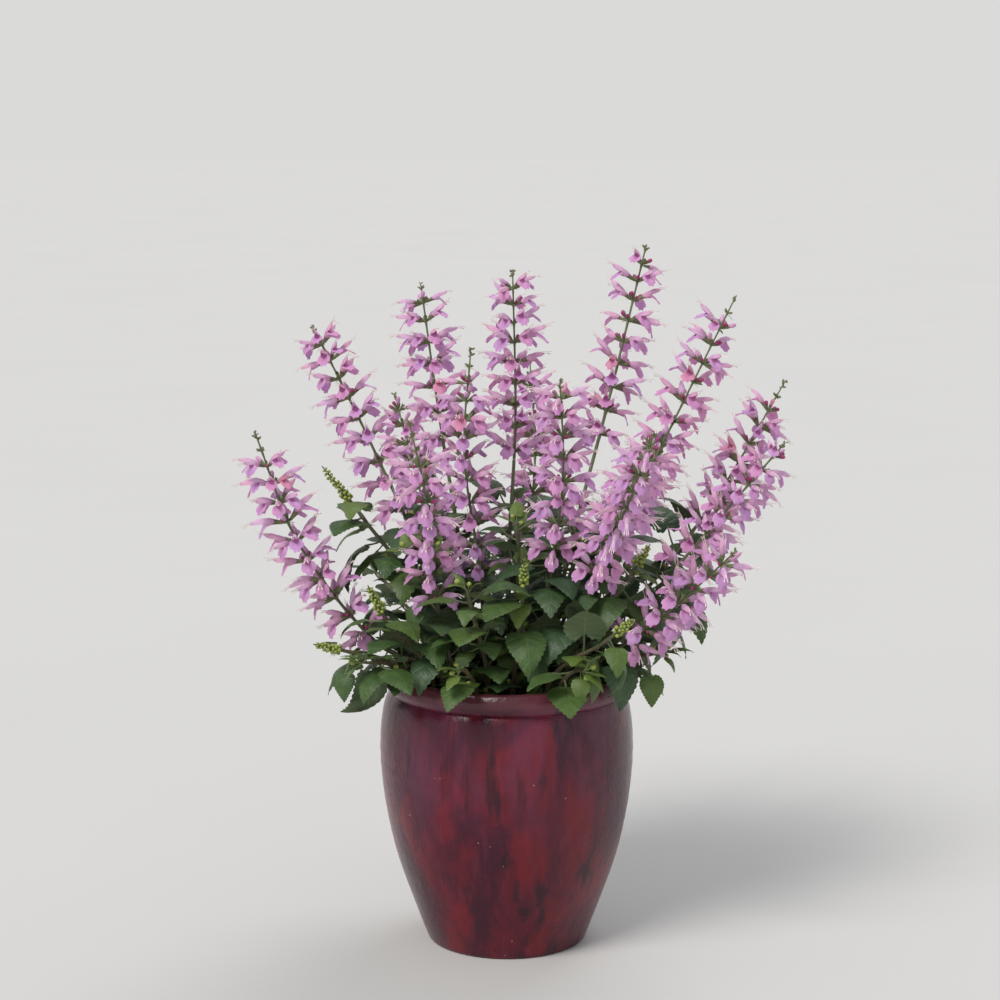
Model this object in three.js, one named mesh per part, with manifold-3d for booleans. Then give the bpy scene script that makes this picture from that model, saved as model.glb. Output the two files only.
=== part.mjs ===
// A tropical sage in bloom, standing in a glazed pot of soil.
// Lengths are in millimetres. Z is up, X is to the right and Y points away from the front.
// The origin is the centre of the pot's flat foot.
import * as THREE from 'three';
import Module from 'manifold-3d';

const wasm = await Module();
wasm.setup();

// Pot
const potSides = 24;
const footRadius = 85;
const potHeight = 300;
const floorThickness = 14;
const rimShift = 3;
const drainRadius = 8;
const drainRing = 36;
const drainSides = 12;

// Soil
const gap = 0.3;
const soilEdge = 262;
const soilRise = 5;
const holeEase = 0.8;

// Stems, leaves and flowers
const stemRadius = 3.4;
const tipRadius = 2.3;
const bandHeight = 4.6;
const leafSpacing = 28;
const leafThickness = 1.8;
const highestLeaf = 462;
const shortestLeaf = 43;
const whorlSpacing = 22;
const flowerLength = 20;
const clearance = 0.5;
const largestBall = 7.5;

// Each flowering stem: points on its line from the soil up, the height where its flowers start, the
// share of its flowers that are open, the share of the raceme where open flowers end, how much of
// the open share is left at that end, and the seed of its random draws.
const flowering = [
  { name: 'far_left',
    line: [[-54, -16, 240], [-74, -24, 300], [-138, -44, 336], [-216, -64, 444], [-259, -76, 563]],
    from: 340, open: 0.8, until: 0.82, tip: 0.75, seed: 11 },
  { name: 'left_tall', line: [[-52, 22, 240], [-88, 14, 404], [-145, 28, 536], [-207, 46, 660]],
    from: 462, open: 0.97, until: 1, tip: 1, seed: 12 },
  { name: 'centre_left_tall', line: [[-30, 44, 240], [-49, 42, 408], [-73, 70, 558], [-94, 102, 703]],
    from: 530, open: 0.84, until: 0.96, tip: 0.7, seed: 13 },
  { name: 'centre_left', line: [[-18, -4, 240], [-29, -14, 403], [-45, -24, 533], [-38, -30, 645]],
    from: 400, open: 0.86, until: 0.84, tip: 0.7, seed: 14 },
  { name: 'front_left', line: [[-40, -46, 240], [-74, -76, 393], [-82, -128, 503], [-98, -164, 589]],
    from: 384, open: 0.94, until: 0.8, tip: 0.8, seed: 15 },
  { name: 'centre_tall', line: [[2, 24, 240], [2, 16, 413], [9, 34, 562], [6, 44, 721]],
    from: 520, open: 0.92, until: 0.94, tip: 0.6, seed: 16 },
  { name: 'front_centre', line: [[22, -34, 240], [43, -48, 393], [57, -88, 517], [53, -112, 623]],
    from: 432, open: 0.97, until: 0.96, tip: 0.9, seed: 17 },
  { name: 'right_tallest', line: [[30, 14, 240], [68, 34, 420], [111, 76, 579], [152, 116, 742]],
    from: 534, open: 0.66, until: 0.92, tip: 0.4, seed: 18 },
  { name: 'right_tall', line: [[54, 4, 240], [105, -2, 416], [175, 6, 561], [241, 14, 696]],
    from: 440, open: 0.86, until: 0.86, tip: 0.55, seed: 19 },
  { name: 'front_right', line: [[46, -52, 240], [86, -72, 398], [123, -150, 507], [143, -206, 583]],
    from: 410, open: 0.95, until: 0.92, tip: 0.8, seed: 20 },
  { name: 'far_right_back',
    line: [[64, 30, 240], [86, 34, 302], [146, 48, 366], [229, 84, 467], [309, 132, 592]],
    from: 440, open: 0.74, until: 0.86, tip: 0.6, seed: 21 },
  { name: 'far_right',
    line: [[78, -10, 240], [92, -12, 306], [142, -16, 366], [209, -24, 448], [291, -34, 548]],
    from: 404, open: 0.8, until: 0.88, tip: 0.7, seed: 22 },
  { name: 'low_right',
    line: [[70, -38, 240], [84, -48, 302], [122, -72, 340], [177, -112, 394], [229, -146, 453]],
    from: 338, open: 0.96, until: 1, tip: 1, seed: 23 },
  { name: 'back_left', line: [[-38, 68, 240], [-58, 84, 367], [-98, 156, 466], [-128, 216, 567]],
    from: 410, open: 0.8, until: 0.88, tip: 0.7, seed: 24 },
  { name: 'back_centre', line: [[12, 62, 240], [20, 82, 383], [32, 166, 499], [27, 236, 605]],
    from: 420, open: 0.8, until: 0.88, tip: 0.7, seed: 25 },
  { name: 'back_right', line: [[44, 56, 240], [70, 74, 357], [126, 158, 432], [183, 222, 509]],
    from: 396, open: 0.8, until: 0.88, tip: 0.7, seed: 26 },
];

// Each young shoot: points on its line, the length of its head of green buds, and its seed.
const young = [
  { name: 'left_high', line: [[-76, 6, 240], [-94, 2, 372], [-151, -6, 460], [-196, -8, 519]],
    head: 46, seed: 31 },
  { name: 'left_low', line: [[-66, -44, 240], [-84, -58, 312], [-120, -88, 362], [-143, -110, 411]],
    head: 34, seed: 32 },
  { name: 'left_edge', line: [[-84, -24, 240], [-94, -34, 300], [-148, -80, 330], [-200, -104, 348]],
    head: 30, seed: 33 },
  { name: 'front', line: [[2, -62, 240], [10, -68, 330], [16, -92, 392], [18, -106, 435]],
    head: 26, seed: 34 },
  { name: 'right', line: [[48, -22, 240], [74, -30, 330], [118, -62, 396], [148, -78, 448]],
    head: 26, seed: 35 },
  { name: 'front_right', line: [[26, -78, 240], [50, -92, 314], [95, -124, 352], [128, -150, 384]],
    head: 26, seed: 36 },
  { name: 'back_low_left', line: [[-62, 46, 240], [-80, 66, 312], [-120, 104, 352], [-148, 128, 380]],
    head: 8, seed: 37 },
  { name: 'back_low', line: [[-6, 84, 240], [-8, 98, 318], [-14, 138, 362], [-16, 164, 392]],
    head: 8, seed: 38 },
  { name: 'back_low_right', line: [[62, 60, 240], [76, 76, 312], [110, 108, 352], [140, 130, 376]],
    head: 8, seed: 39 },
  { name: 'left_mid', line: [[-34, -22, 240], [-52, -40, 330], [-84, -66, 398], [-104, -84, 440]],
    head: 8, seed: 40 },
  { name: 'front_left', line: [[-14, -48, 240], [-22, -78, 320], [-34, -112, 376], [-42, -136, 414]],
    head: 8, seed: 41 },
  { name: 'centre', line: [[6, -10, 240], [8, -22, 340], [12, -46, 420], [10, -62, 468]],
    head: 8, seed: 42 },
  { name: 'right_edge', line: [[86, 16, 240], [98, 22, 306], [146, 34, 344], [190, 48, 372]],
    head: 8, seed: 43 },
  { name: 'left_rim', line: [[-82, -44, 240], [-92, -56, 296], [-124, -100, 326], [-150, -128, 334]],
    head: 8, seed: 44 },
  { name: 'front_rim', line: [[-26, -84, 240], [-32, -98, 296], [-42, -132, 326], [-48, -154, 332]],
    head: 8, seed: 45 },
  { name: 'front_rim_right', line: [[46, -84, 240], [54, -94, 298], [68, -124, 324], [78, -148, 330]],
    head: 8, seed: 46 },
  { name: 'right_rim', line: [[88, -26, 240], [100, -36, 298], [138, -52, 322], [166, -66, 330]],
    head: 8, seed: 47 },
  { name: 'back_rim_left', line: [[-40, 84, 240], [-50, 98, 298], [-66, 134, 328], [-76, 156, 336]],
    head: 8, seed: 48 },
  { name: 'back_rim_right', line: [[34, 88, 240], [42, 102, 298], [54, 138, 328], [62, 160, 336]],
    head: 8, seed: 49 },
  { name: 'inner_left', line: [[-40, 18, 240], [-52, 0, 320], [-66, -14, 390], [-80, -26, 436]],
    head: 8, seed: 50 },
  { name: 'inner_right', line: [[30, -8, 240], [44, -12, 320], [62, -30, 392], [76, -46, 438]],
    head: 8, seed: 51 },
];

// Single leaves that hang or stand out, each grown from a shoot or stem at a height and towards a
// direction in degrees, with its stalk's length and slope, its blade's length and its droop.
const keyLeaves = [
  { on: 'shoot_front', height: 352, towards: -78, stalk: 16, slope: 4, length: 58, droop: 82 },
  { on: 'shoot_front', height: 312, towards: -38, stalk: 38, slope: 22, length: 50, droop: 70 },
  { on: 'shoot_front_right', height: 330, towards: -120, stalk: 22, slope: 14, length: 54, droop: 84 },
  { on: 'shoot_left_low', height: 322, towards: -72, stalk: 26, slope: 6, length: 56, droop: 96 },
  { on: 'shoot_left_low', height: 334, towards: -140, stalk: 26, slope: 10, length: 50, droop: 100 },
  { on: 'stem_front_left', height: 316, towards: -112, stalk: 40, slope: 12, length: 50, droop: 96 },
  { on: 'shoot_left_edge', height: 326, towards: -120, stalk: 20, slope: -6, length: 58, droop: 110 },
  { on: 'shoot_left_edge', height: 340, towards: -60, stalk: 18, slope: 0, length: 46, droop: 100 },
  { on: 'stem_low_right', height: 324, towards: -30, stalk: 24, slope: -4, length: 58, droop: 118 },
  { on: 'shoot_front_right', height: 356, towards: 0, stalk: 22, slope: 0, length: 46, droop: 100 },
  { on: 'stem_far_right', height: 372, towards: -20, stalk: 24, slope: -10, length: 54, droop: 90 },
  { on: 'shoot_left_high', height: 436, towards: 170, stalk: 18, slope: 20, length: 56, droop: 90 },
  { on: 'shoot_left_high', height: 396, towards: -60, stalk: 22, slope: 30, length: 56, droop: 100 },
  { on: 'stem_front_centre', height: 404, towards: -70, stalk: 24, slope: 30, length: 46, droop: 60 },
  { on: 'shoot_right', height: 392, towards: -60, stalk: 22, slope: 20, length: 52, droop: 80 },
  { on: 'stem_front_right', height: 352, towards: -90, stalk: 24, slope: 16, length: 56, droop: 84 },
  { on: 'stem_back_left', height: 312, towards: 118, stalk: 30, slope: 20, length: 56, droop: 92 },
  { on: 'stem_back_centre', height: 314, towards: 84, stalk: 30, slope: 18, length: 58, droop: 92 },
  { on: 'stem_back_right', height: 312, towards: 50, stalk: 32, slope: 18, length: 56, droop: 96 },
  { on: 'stem_left_tall', height: 312, towards: 152, stalk: 34, slope: 20, length: 54, droop: 80 },
  { on: 'stem_far_right_back', height: 322, towards: 48, stalk: 30, slope: 14, length: 56, droop: 96 },
];

const vec = (x, y, z) => new THREE.Vector3(x, y, z);
const radians = THREE.MathUtils.degToRad;
const mix = (a, b, t) => a + (b - a) * t;

// A seeded source of numbers from 0 to 1.
function draws(seed) {
  let state = seed >>> 0;
  return () => {
    state = (state + 0x6d2b79f5) >>> 0;
    let value = state;
    value = Math.imul(value ^ (value >>> 15), value | 1);
    value ^= value + Math.imul(value ^ (value >>> 7), value | 61);
    return ((value ^ (value >>> 14)) >>> 0) / 4294967296;
  };
}

// A growing closed surface: points and outward triangles.
class Skin {
  constructor() {
    this.points = [];
    this.faces = [];
  }

  point(place) {
    this.points.push(place);
    return this.points.length - 1;
  }

  loop(places) {
    return places.map((place) => this.point(place));
  }

  face(a, b, c) {
    this.faces.push([a, b, c]);
  }

  quad(a, b, c, d) {
    this.face(a, b, c);
    this.face(a, c, d);
  }

  // Joins two loops of the same count, each counter-clockwise as seen from the second one's side.
  join(first, second) {
    first.forEach((corner, i) => {
      const next = (i + 1) % first.length;
      this.quad(corner, first[next], second[next], second[i]);
    });
  }

  cap(loop, forward) {
    for (let i = 1; i < loop.length - 1; i += 1) {
      if (forward) {
        this.face(loop[0], loop[i], loop[i + 1]);
      } else {
        this.face(loop[0], loop[i + 1], loop[i]);
      }
    }
  }

  cone(loop, apex) {
    const top = this.point(apex);
    loop.forEach((corner, i) => this.face(corner, loop[(i + 1) % loop.length], top));
  }

  solid() {
    const mesh = new wasm.Mesh({
      numProp: 3,
      vertProperties: new Float32Array(this.points.flatMap((p) => [p.x, p.y, p.z])),
      triVerts: new Uint32Array(this.faces.flat()),
    });
    return new wasm.Manifold(mesh);
  }

  geometry() {
    const made = new THREE.BufferGeometry();
    const places = this.points.flatMap((p) => [p.x, p.y, p.z]);
    made.setAttribute('position', new THREE.Float32BufferAttribute(places, 3));
    made.setIndex(this.faces.flat());
    made.computeVertexNormals();
    return made;
  }
}

function geometryOf(solid) {
  const mesh = solid.getMesh();
  const made = new THREE.BufferGeometry();
  made.setAttribute('position', new THREE.Float32BufferAttribute(mesh.vertProperties, 3));
  made.setIndex(Array.from(mesh.triVerts));
  made.computeVertexNormals();
  return made;
}

// Turns a profile of [radius, height] pairs, which starts and ends on the axis, about Z.
function turned(profile, shiftAt) {
  const skin = new Skin();
  const loops = profile.map(([radius, height]) => {
    if (radius === 0) {
      return [skin.point(vec(0, 0, height))];
    }
    const places = [];
    for (let i = 0; i < potSides; i += 1) {
      const angle = (i / potSides) * 2 * Math.PI;
      const x = radius * Math.cos(angle) + shiftAt(height);
      places.push(vec(x, radius * Math.sin(angle), height));
    }
    return skin.loop(places);
  });
  for (let k = 0; k < loops.length - 1; k += 1) {
    const lower = loops[k];
    const upper = loops[k + 1];
    for (let i = 0; i < potSides; i += 1) {
      const next = (i + 1) % potSides;
      if (lower.length === 1) {
        skin.face(lower[0], upper[next], upper[i]);
      } else if (upper.length === 1) {
        skin.face(lower[i], lower[next], upper[0]);
      } else {
        skin.quad(lower[i], lower[next], upper[next], upper[i]);
      }
    }
  }
  return skin;
}

// A smooth line through the given points, read by the length along it.
class Line {
  constructor(corners) {
    const steps = 40;
    const points = corners.map((c) => vec(...c));
    const first = points[0].clone().multiplyScalar(2).sub(points[1]);
    const count = points.length;
    const last = points[count - 1].clone().multiplyScalar(2).sub(points[count - 2]);
    const all = [first, ...points, last];
    this.places = [points[0]];
    this.lengths = [0];
    for (let k = 0; k < count - 1; k += 1) {
      for (let i = 1; i <= steps; i += 1) {
        const place = Line.between(all[k], all[k + 1], all[k + 2], all[k + 3], i / steps);
        const before = this.places[this.places.length - 1];
        this.lengths.push(this.lengths[this.lengths.length - 1] + place.distanceTo(before));
        this.places.push(place);
      }
    }
    this.length = this.lengths[this.lengths.length - 1];
  }

  static between(a, b, c, d, t) {
    const part = (p, q, r, s) => {
      const rise = (r - p) / 2;
      const leave = (s - q) / 2;
      const cubic = (2 * q - 2 * r + rise + leave) * t * t * t;
      return cubic + (3 * r - 3 * q - 2 * rise - leave) * t * t + rise * t + q;
    };
    return vec(part(a.x, b.x, c.x, d.x), part(a.y, b.y, c.y, d.y), part(a.z, b.z, c.z, d.z));
  }

  at(length) {
    const wanted = Math.min(Math.max(length, 0), this.length);
    let k = 1;
    while (k < this.lengths.length - 1 && this.lengths[k] < wanted) {
      k += 1;
    }
    const share = (wanted - this.lengths[k - 1]) / (this.lengths[k] - this.lengths[k - 1]);
    const place = this.places[k - 1].clone().lerp(this.places[k], share);
    const from = this.places[Math.max(k - 3, 0)];
    const to = this.places[Math.min(k + 2, this.places.length - 1)];
    const along = to.clone().sub(from).normalize();
    const side = vec(0, 1, 0).cross(along).normalize();
    const back = along.clone().cross(side);
    return { place, along, side, back };
  }

  lengthAtHeight(height) {
    const k = this.places.findIndex((place) => place.z >= height);
    if (k < 1) {
      return this.length;
    }
    const share = (height - this.places[k - 1].z) / (this.places[k].z - this.places[k - 1].z);
    return mix(this.lengths[k - 1], this.lengths[k], share);
  }
}

// The direction at an angle round a stem, square to it.
function around(frame, angle) {
  return frame.side.clone().multiplyScalar(Math.cos(angle)).addScaledVector(frame.back, Math.sin(angle));
}

// A square loop round a stem, whose side k faces the angle turn + k quarter turns.
function squareLoop(frame, radius, turn) {
  return [0, 1, 2, 3].map((k) => {
    const angle = turn + (k - 0.5) * (Math.PI / 2);
    return frame.place.clone().addScaledVector(around(frame, angle), radius);
  });
}

// The room that is already taken, as balls. Each ball is kept with the name of what it belongs to.
const taken = [];

function inWall(ball) {
  const reach = Math.hypot(ball.at.x, ball.at.y);
  const rim = ball.at.z < potHeight + ball.r + 1 && reach > 117 - ball.r && reach < 139 + ball.r;
  return rim || ball.at.z < soilEdge + soilRise + 3 + ball.r;
}

function fits(balls, owner) {
  if (balls.some(inWall)) {
    return false;
  }
  const box = new THREE.Box3().setFromPoints(balls.map((ball) => ball.at));
  box.expandByScalar(Math.max(...balls.map((ball) => ball.r)) + largestBall + clearance);
  const near = taken.filter(
    (other) => box.containsPoint(other.at) && !(other.owner === owner && other.axis));
  return balls.every((ball) => near.every(
    (other) => ball.at.distanceToSquared(other.at) > (ball.r + other.r + clearance) ** 2));
}

function take(balls, owner) {
  balls.forEach((ball) => taken.push({ at: ball.at, r: ball.r, owner, axis: false }));
}

function takeLine(line, owner) {
  for (let s = 0; s <= line.length; s += 4) {
    taken.push({ at: line.at(s).place, r: 3.4, owner, axis: true });
  }
}

// The directions of a flower that leaves its stem at an angle and a slope.
function flowerFrame(frame, angle, slope, size) {
  const out = around(frame, angle).multiplyScalar(Math.cos(slope))
    .addScaledVector(frame.along, Math.sin(slope));
  const lift = vec(0, 0, 0.6).addScaledVector(frame.along, 0.4);
  const up = lift.addScaledVector(out, -lift.dot(out)).normalize();
  const across = up.clone().cross(out);
  const at = (o, w, u) => frame.place.clone().addScaledVector(out, o * size)
    .addScaledVector(across, w * size).addScaledVector(up, u * size);
  return { at, size };
}

function flowerBalls(flower) {
  const spots = [[9, 0, 0, 3.2], [14, 0, 0, 3.8], [20, 0, -0.5, 4.8], [26, 0, 3, 3.4], [31, 0, 3.5, 2],
    [26, -5, -7, 4], [26, 5, -7, 4], [28, 0, -8, 4]];
  return spots.map(([o, w, u, r]) => ({ at: flower.at(o, w, u), r: r * flower.size }));
}

// A tube from a four-cornered side of a stem to three corners: one below and two above.
function growTube(skin, root, bottom, right, left) {
  const [lowLeft, lowRight, topRight, topLeft] = root;
  skin.face(lowLeft, lowRight, bottom);
  skin.quad(lowRight, topRight, right, bottom);
  skin.quad(topRight, topLeft, left, right);
  skin.quad(topLeft, lowLeft, bottom, left);
}

// A two-lipped flower, grown from a side of the stem: a tube, a hooded upper lip and a hanging,
// notched lower lip.
function growFlower(skin, root, flower) {
  const bottom = skin.point(flower.at(flowerLength, 0, -4.6));
  const right = skin.point(flower.at(flowerLength, 4.2, 3));
  const left = skin.point(flower.at(flowerLength, -4.2, 3));
  growTube(skin, root, bottom, right, left);
  const hood = skin.point(flower.at(flowerLength + 12, 0, 4));
  const mouth = skin.point(flower.at(flowerLength + 4, 0, -0.8));
  const lipLeft = skin.point(flower.at(flowerLength + 8.5, -8.4, -10.5));
  const lipRight = skin.point(flower.at(flowerLength + 8.5, 8.4, -10.5));
  skin.face(right, left, hood);
  skin.face(hood, left, mouth);
  skin.face(right, hood, mouth);
  skin.face(bottom, lipRight, lipLeft);
  skin.face(bottom, right, lipRight);
  skin.face(lipRight, right, mouth);
  skin.face(left, bottom, lipLeft);
  skin.face(left, lipLeft, mouth);
  skin.face(lipLeft, lipRight, mouth);
}

function growBud(skin, root, flower, length) {
  skin.cone(root, flower.at(length, 0, 0));
}

// Where the whorls of a raceme stand, closer together towards the tip.
function whorlPlaces(start, end) {
  const count = Math.round((end - start) / whorlSpacing);
  return Array.from({ length: count }, (_, k) => mix(start, end, 1 - (1 - k / count) ** 1.2));
}

// From 1 down to the least value over the upper part of a raceme.
function tipShare(share, least) {
  return mix(1, least, Math.max(0, (share - 0.55) / 0.45));
}

function placeFlower(frame, angle, slope, size, owner) {
  for (const lean of [0, 12, -12]) {
    for (const swing of [0, 13, -13, 24, -24]) {
      const flower = flowerFrame(frame, angle + radians(swing), slope + radians(lean), size);
      const balls = flowerBalls(flower);
      if (fits(balls, owner)) {
        take(balls, owner);
        return flower;
      }
    }
  }
  return null;
}

function placeBud(frame, angle, length, owner) {
  const bud = flowerFrame(frame, angle, radians(40), 1);
  const ball = { at: bud.at(length - 3, 0, 0), r: 2.6 };
  if (!fits([ball], owner)) {
    return { kind: 'bare' };
  }
  take([ball], owner);
  return { kind: 'bud', flower: bud, length };
}

// What stands on each side of each whorl of a raceme.
function planRaceme(stem) {
  const draw = draws(stem.seed);
  const places = whorlPlaces(stem.top + 6, stem.line.length - 8);
  const turnOffset = draw() * Math.PI;
  return places.map((length, k) => {
    const share = k / places.length;
    const frame = stem.line.at(length + bandHeight / 2);
    const turn = turnOffset + k * (Math.PI / 4);
    const sides = [0, 1, 2, 3].map((side) => {
      const angle = turn + side * (Math.PI / 2) + radians(mix(-9, 9, draw()));
      const slope = radians(mix(14, 36, draw()));
      const size = mix(1.08, 1.3, draw()) * tipShare(share, 0.8);
      const opens = draw() < stem.open * tipShare(share, stem.tip) && share < stem.until;
      const flower = opens ? placeFlower(frame, angle, slope, size, stem.name) : null;
      if (flower) {
        return { kind: 'flower', flower };
      }
      return placeBud(frame, angle, share < stem.until ? 11 : 6, stem.name);
    });
    return { length, turn, share, sides };
  });
}

function makeRaceme(stem) {
  const skin = new Skin();
  const line = stem.line;
  const radiusAt = (share) => mix(2.2, 1.2, share);
  let loop = skin.loop(squareLoop(line.at(stem.top + gap), 2.2, stem.plan[0].turn));
  skin.cap(loop, false);
  stem.plan.forEach((whorl) => {
    const radius = radiusAt(whorl.share);
    const lower = skin.loop(squareLoop(line.at(whorl.length), radius, whorl.turn));
    const upper = skin.loop(squareLoop(line.at(whorl.length + bandHeight), radius, whorl.turn));
    skin.join(loop, lower);
    whorl.sides.forEach((side, k) => {
      const next = (k + 1) % 4;
      const root = [lower[k], lower[next], upper[next], upper[k]];
      if (side.kind === 'flower') {
        growFlower(skin, root, side.flower);
      } else if (side.kind === 'bud') {
        growBud(skin, root, side.flower, side.length);
      } else {
        skin.quad(...root);
      }
    });
    loop = upper;
  });
  skin.cone(loop, line.at(line.length).place);
  return skin;
}

// The outline of half a leaf, as shares of its length and width, from its base to its tip, and
// where along the rib its thickest place is.
const leafEdge = [[-0.08, 0.56], [0.16, 1], [0.5, 0.84], [0.8, 0.38]];
const leafCrown = 0.36;

// A leaf that leaves its stem at an angle and a slope, with a stalk and a blade that droops.
function leafFrame(frame, { angle, slope, stalk, length, droop }) {
  const flat = around(frame, angle);
  const out = flat.clone().multiplyScalar(Math.cos(slope)).addScaledVector(frame.along, Math.sin(slope));
  const lift = vec(0, 0, 1).addScaledVector(out, -out.z).normalize();
  const across = lift.clone().cross(out);
  const start = frame.place.clone().addScaledVector(out, stalk);
  const width = 0.4 * length;
  // The blade's rib is an arc that starts along the stalk and bends down by the droop.
  const rib = (share) => {
    const bend = droop * share * 0.6;
    return start.clone().addScaledVector(out, length * share * Math.cos(bend))
      .addScaledVector(lift, -length * share * Math.sin(bend));
  };
  const normalAt = (share) => {
    const bend = droop * share * 1.2;
    return lift.clone().multiplyScalar(Math.cos(bend)).addScaledVector(out, Math.sin(bend));
  };
  const edge = (share, reach, hand) => rib(share).addScaledVector(across, hand * reach * width)
    .addScaledVector(normalAt(Math.max(share, 0)), -0.16 * reach * width);
  return { root: frame.place, out, lift, across, stalk, start, rib, normalAt, edge, length };
}

function leafBalls(leaf) {
  const balls = [];
  for (let s = 10; s < leaf.stalk; s += 5) {
    balls.push({ at: leaf.root.clone().addScaledVector(leaf.out, s), r: 2.4 });
  }
  for (let share = -0.06; share < 1.02; share += 0.15) {
    const reach = share < 0.1 ? 0.8 : 1.05 * (1 - share) + 0.12;
    const steps = Math.max(1, Math.round(reach * 2.4));
    for (let i = -steps; i <= steps; i += 1) {
      const r = share > 0.9 ? 3 : 4.2;
      balls.push({ at: leaf.edge(share, Math.abs(i / steps) * reach, Math.sign(i) || 1), r });
    }
  }
  // The straight way from the thickest place to the tip
  for (const share of [0.3, 0.6]) {
    balls.push({ at: leaf.rib(leafCrown).lerp(leaf.rib(1), share), r: 4.2 });
  }
  return balls;
}

// A stalk and a blade whose upper and lower faces are fans round its thickest place.
function growLeaf(skin, root, leaf) {
  const corner = (w, u) => skin.point(
    leaf.start.clone().addScaledVector(leaf.across, w).addScaledVector(leaf.lift, u));
  const bottom = corner(0, -0.9);
  const right = corner(1.1, 0.6);
  const left = corner(-1.1, 0.6);
  growTube(skin, root, bottom, right, left);
  const [leftEdge, rightEdge] = [-1, 1].map(
    (hand) => leafEdge.map(([share, reach]) => skin.point(leaf.edge(share, reach, hand))));
  const tip = skin.point(leaf.rib(1));
  const crownAt = (hand) => skin.point(
    leaf.rib(leafCrown).addScaledVector(leaf.normalAt(leafCrown), (hand * leafThickness) / 2));
  const blade = [...leftEdge, tip, ...rightEdge.reverse()];
  fan(skin, [right, left, ...blade], crownAt(1), true);
  fan(skin, [right, bottom, left, ...blade], crownAt(-1), false);
}

function fan(skin, outline, middle, forward) {
  outline.forEach((corner, i) => {
    const next = outline[(i + 1) % outline.length];
    if (forward) {
      skin.face(corner, next, middle);
    } else {
      skin.face(next, corner, middle);
    }
  });
}

// The leaves of a stem: those chosen by hand, then pairs of opposite ones, each pair a quarter turn
// from the last. Each entry holds the four sides of the stem at one length along it.
function planLeaves(stem) {
  const draw = draws(stem.seed + 100);
  const levels = [...stem.keys].map(([key, leaf]) => {
    const sides = [null, null, null, null];
    sides[Math.round((radians(key.towards) - stem.turn) / (Math.PI / 2)) & 3] = leaf;
    return { length: stem.line.lengthAtHeight(key.height), sides };
  });
  const first = stem.line.lengthAtHeight(soilEdge + soilRise + 18);
  const last = Math.min(stem.top - 12, stem.line.lengthAtHeight(highestLeaf));
  const count = Math.max(1, Math.floor((last - first) / leafSpacing) + 1);
  for (let k = 0; k < count; k += 1) {
    const length = mix(first, last, count > 1 ? k / (count - 1) : 0.5);
    if (levels.every((level) => Math.abs(level.length - length) > bandHeight * 1.6)) {
      const frame = stem.line.at(length + bandHeight / 2);
      const sides = [null, null, null, null];
      const side = (k + stem.seed) % 2;
      [side, side + 2].forEach((turnSide) => {
        const leaf = {
          angle: stem.turn + turnSide * (Math.PI / 2),
          slope: radians(mix(8, 40, draw())),
          stalk: mix(16, 32, draw()),
          length: mix(44, 60, draw()) * mix(1, 0.8, k / count),
          droop: radians(mix(30, 90, draw())),
        };
        sides[turnSide] = placeLeaf(frame, leaf, stem.name);
      });
      levels.push({ length, sides });
    }
  }
  return levels.sort((a, b) => a.length - b.length);
}

function placeLeaf(frame, leaf, owner) {
  for (const shrink of [1, 0.84, 0.68, 0.54]) {
    for (const lean of [0, 20, -18, 38]) {
      for (const swing of [0, 16, -16, 32, -32, 48, -48]) {
        const tried = leafFrame(frame, {
          ...leaf,
          angle: leaf.angle + radians(swing),
          slope: leaf.slope + radians(lean),
          length: leaf.length * shrink,
        });
        const balls = leafBalls(tried);
        if (fits(balls, owner)) {
          take(balls, owner);
          return tried;
        }
      }
    }
  }
  return null;
}

// Places a stem's hand-chosen leaves, before any other leaf takes their room.
function placeKeys(stem) {
  stem.keys = new Map();
  keyLeaves.filter((key) => key.on === stem.name).forEach((key) => {
    const frame = stem.line.at(stem.line.lengthAtHeight(key.height) + bandHeight / 2);
    const leaf = {
      angle: radians(key.towards),
      slope: radians(key.slope),
      stalk: key.stalk,
      length: key.length,
      droop: radians(key.droop),
    };
    stem.keys.set(key, placeLeaf(frame, leaf, stem.name));
  });
}

function makeStem(stem) {
  const skin = new Skin();
  const line = stem.line;
  const radiusAt = (length) => mix(stemRadius, tipRadius, length / stem.top);
  const loopAt = (length) => skin.loop(squareLoop(line.at(length), radiusAt(length), stem.turn));
  let loop = loopAt(0);
  skin.cap(loop, false);
  const collar = loopAt(stem.collar);
  skin.join(loop, collar);
  loop = collar;
  const grows = (leaf) => leaf && leaf.length >= shortestLeaf;
  stem.leaves.forEach((level) => {
    const lower = loopAt(level.length);
    skin.join(loop, lower);
    loop = lower;
    if (!level.sides.some(grows)) {
      return;
    }
    const upper = loopAt(level.length + bandHeight);
    level.sides.forEach((leaf, k) => {
      const next = (k + 1) % 4;
      const root = [lower[k], lower[next], upper[next], upper[k]];
      if (grows(leaf)) {
        growLeaf(skin, root, leaf);
      } else {
        skin.quad(...root);
      }
    });
    loop = upper;
  });
  if (stem.head) {
    const count = Math.round(stem.head / 6.5);
    for (let k = 0; k < count; k += 1) {
      const start = stem.top + (k * stem.head) / count;
      const end = stem.top + ((k + 1) * stem.head) / count;
      const lower = k === 0 ? loopAt(start) : loop;
      if (k === 0) {
        skin.join(loop, lower);
      }
      const radius = mix(2.4, 1.4, (k + 1) / count);
      const upper = skin.loop(squareLoop(line.at(end), radius, stem.turn));
      const frame = line.at((start + end) / 2);
      for (let side = 0; side < 4; side += 1) {
        const next = (side + 1) % 4;
        const bud = flowerFrame(frame, stem.turn + side * (Math.PI / 2), radians(34), 1);
        growBud(skin, [lower[side], lower[next], upper[next], upper[side]], bud, mix(8.5, 5, k / count));
      }
      loop = upper;
    }
    skin.cone(loop, line.at(line.length).place);
  } else {
    const top = loopAt(stem.top);
    skin.join(loop, top);
    skin.cap(top, true);
  }
  return skin;
}

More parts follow.
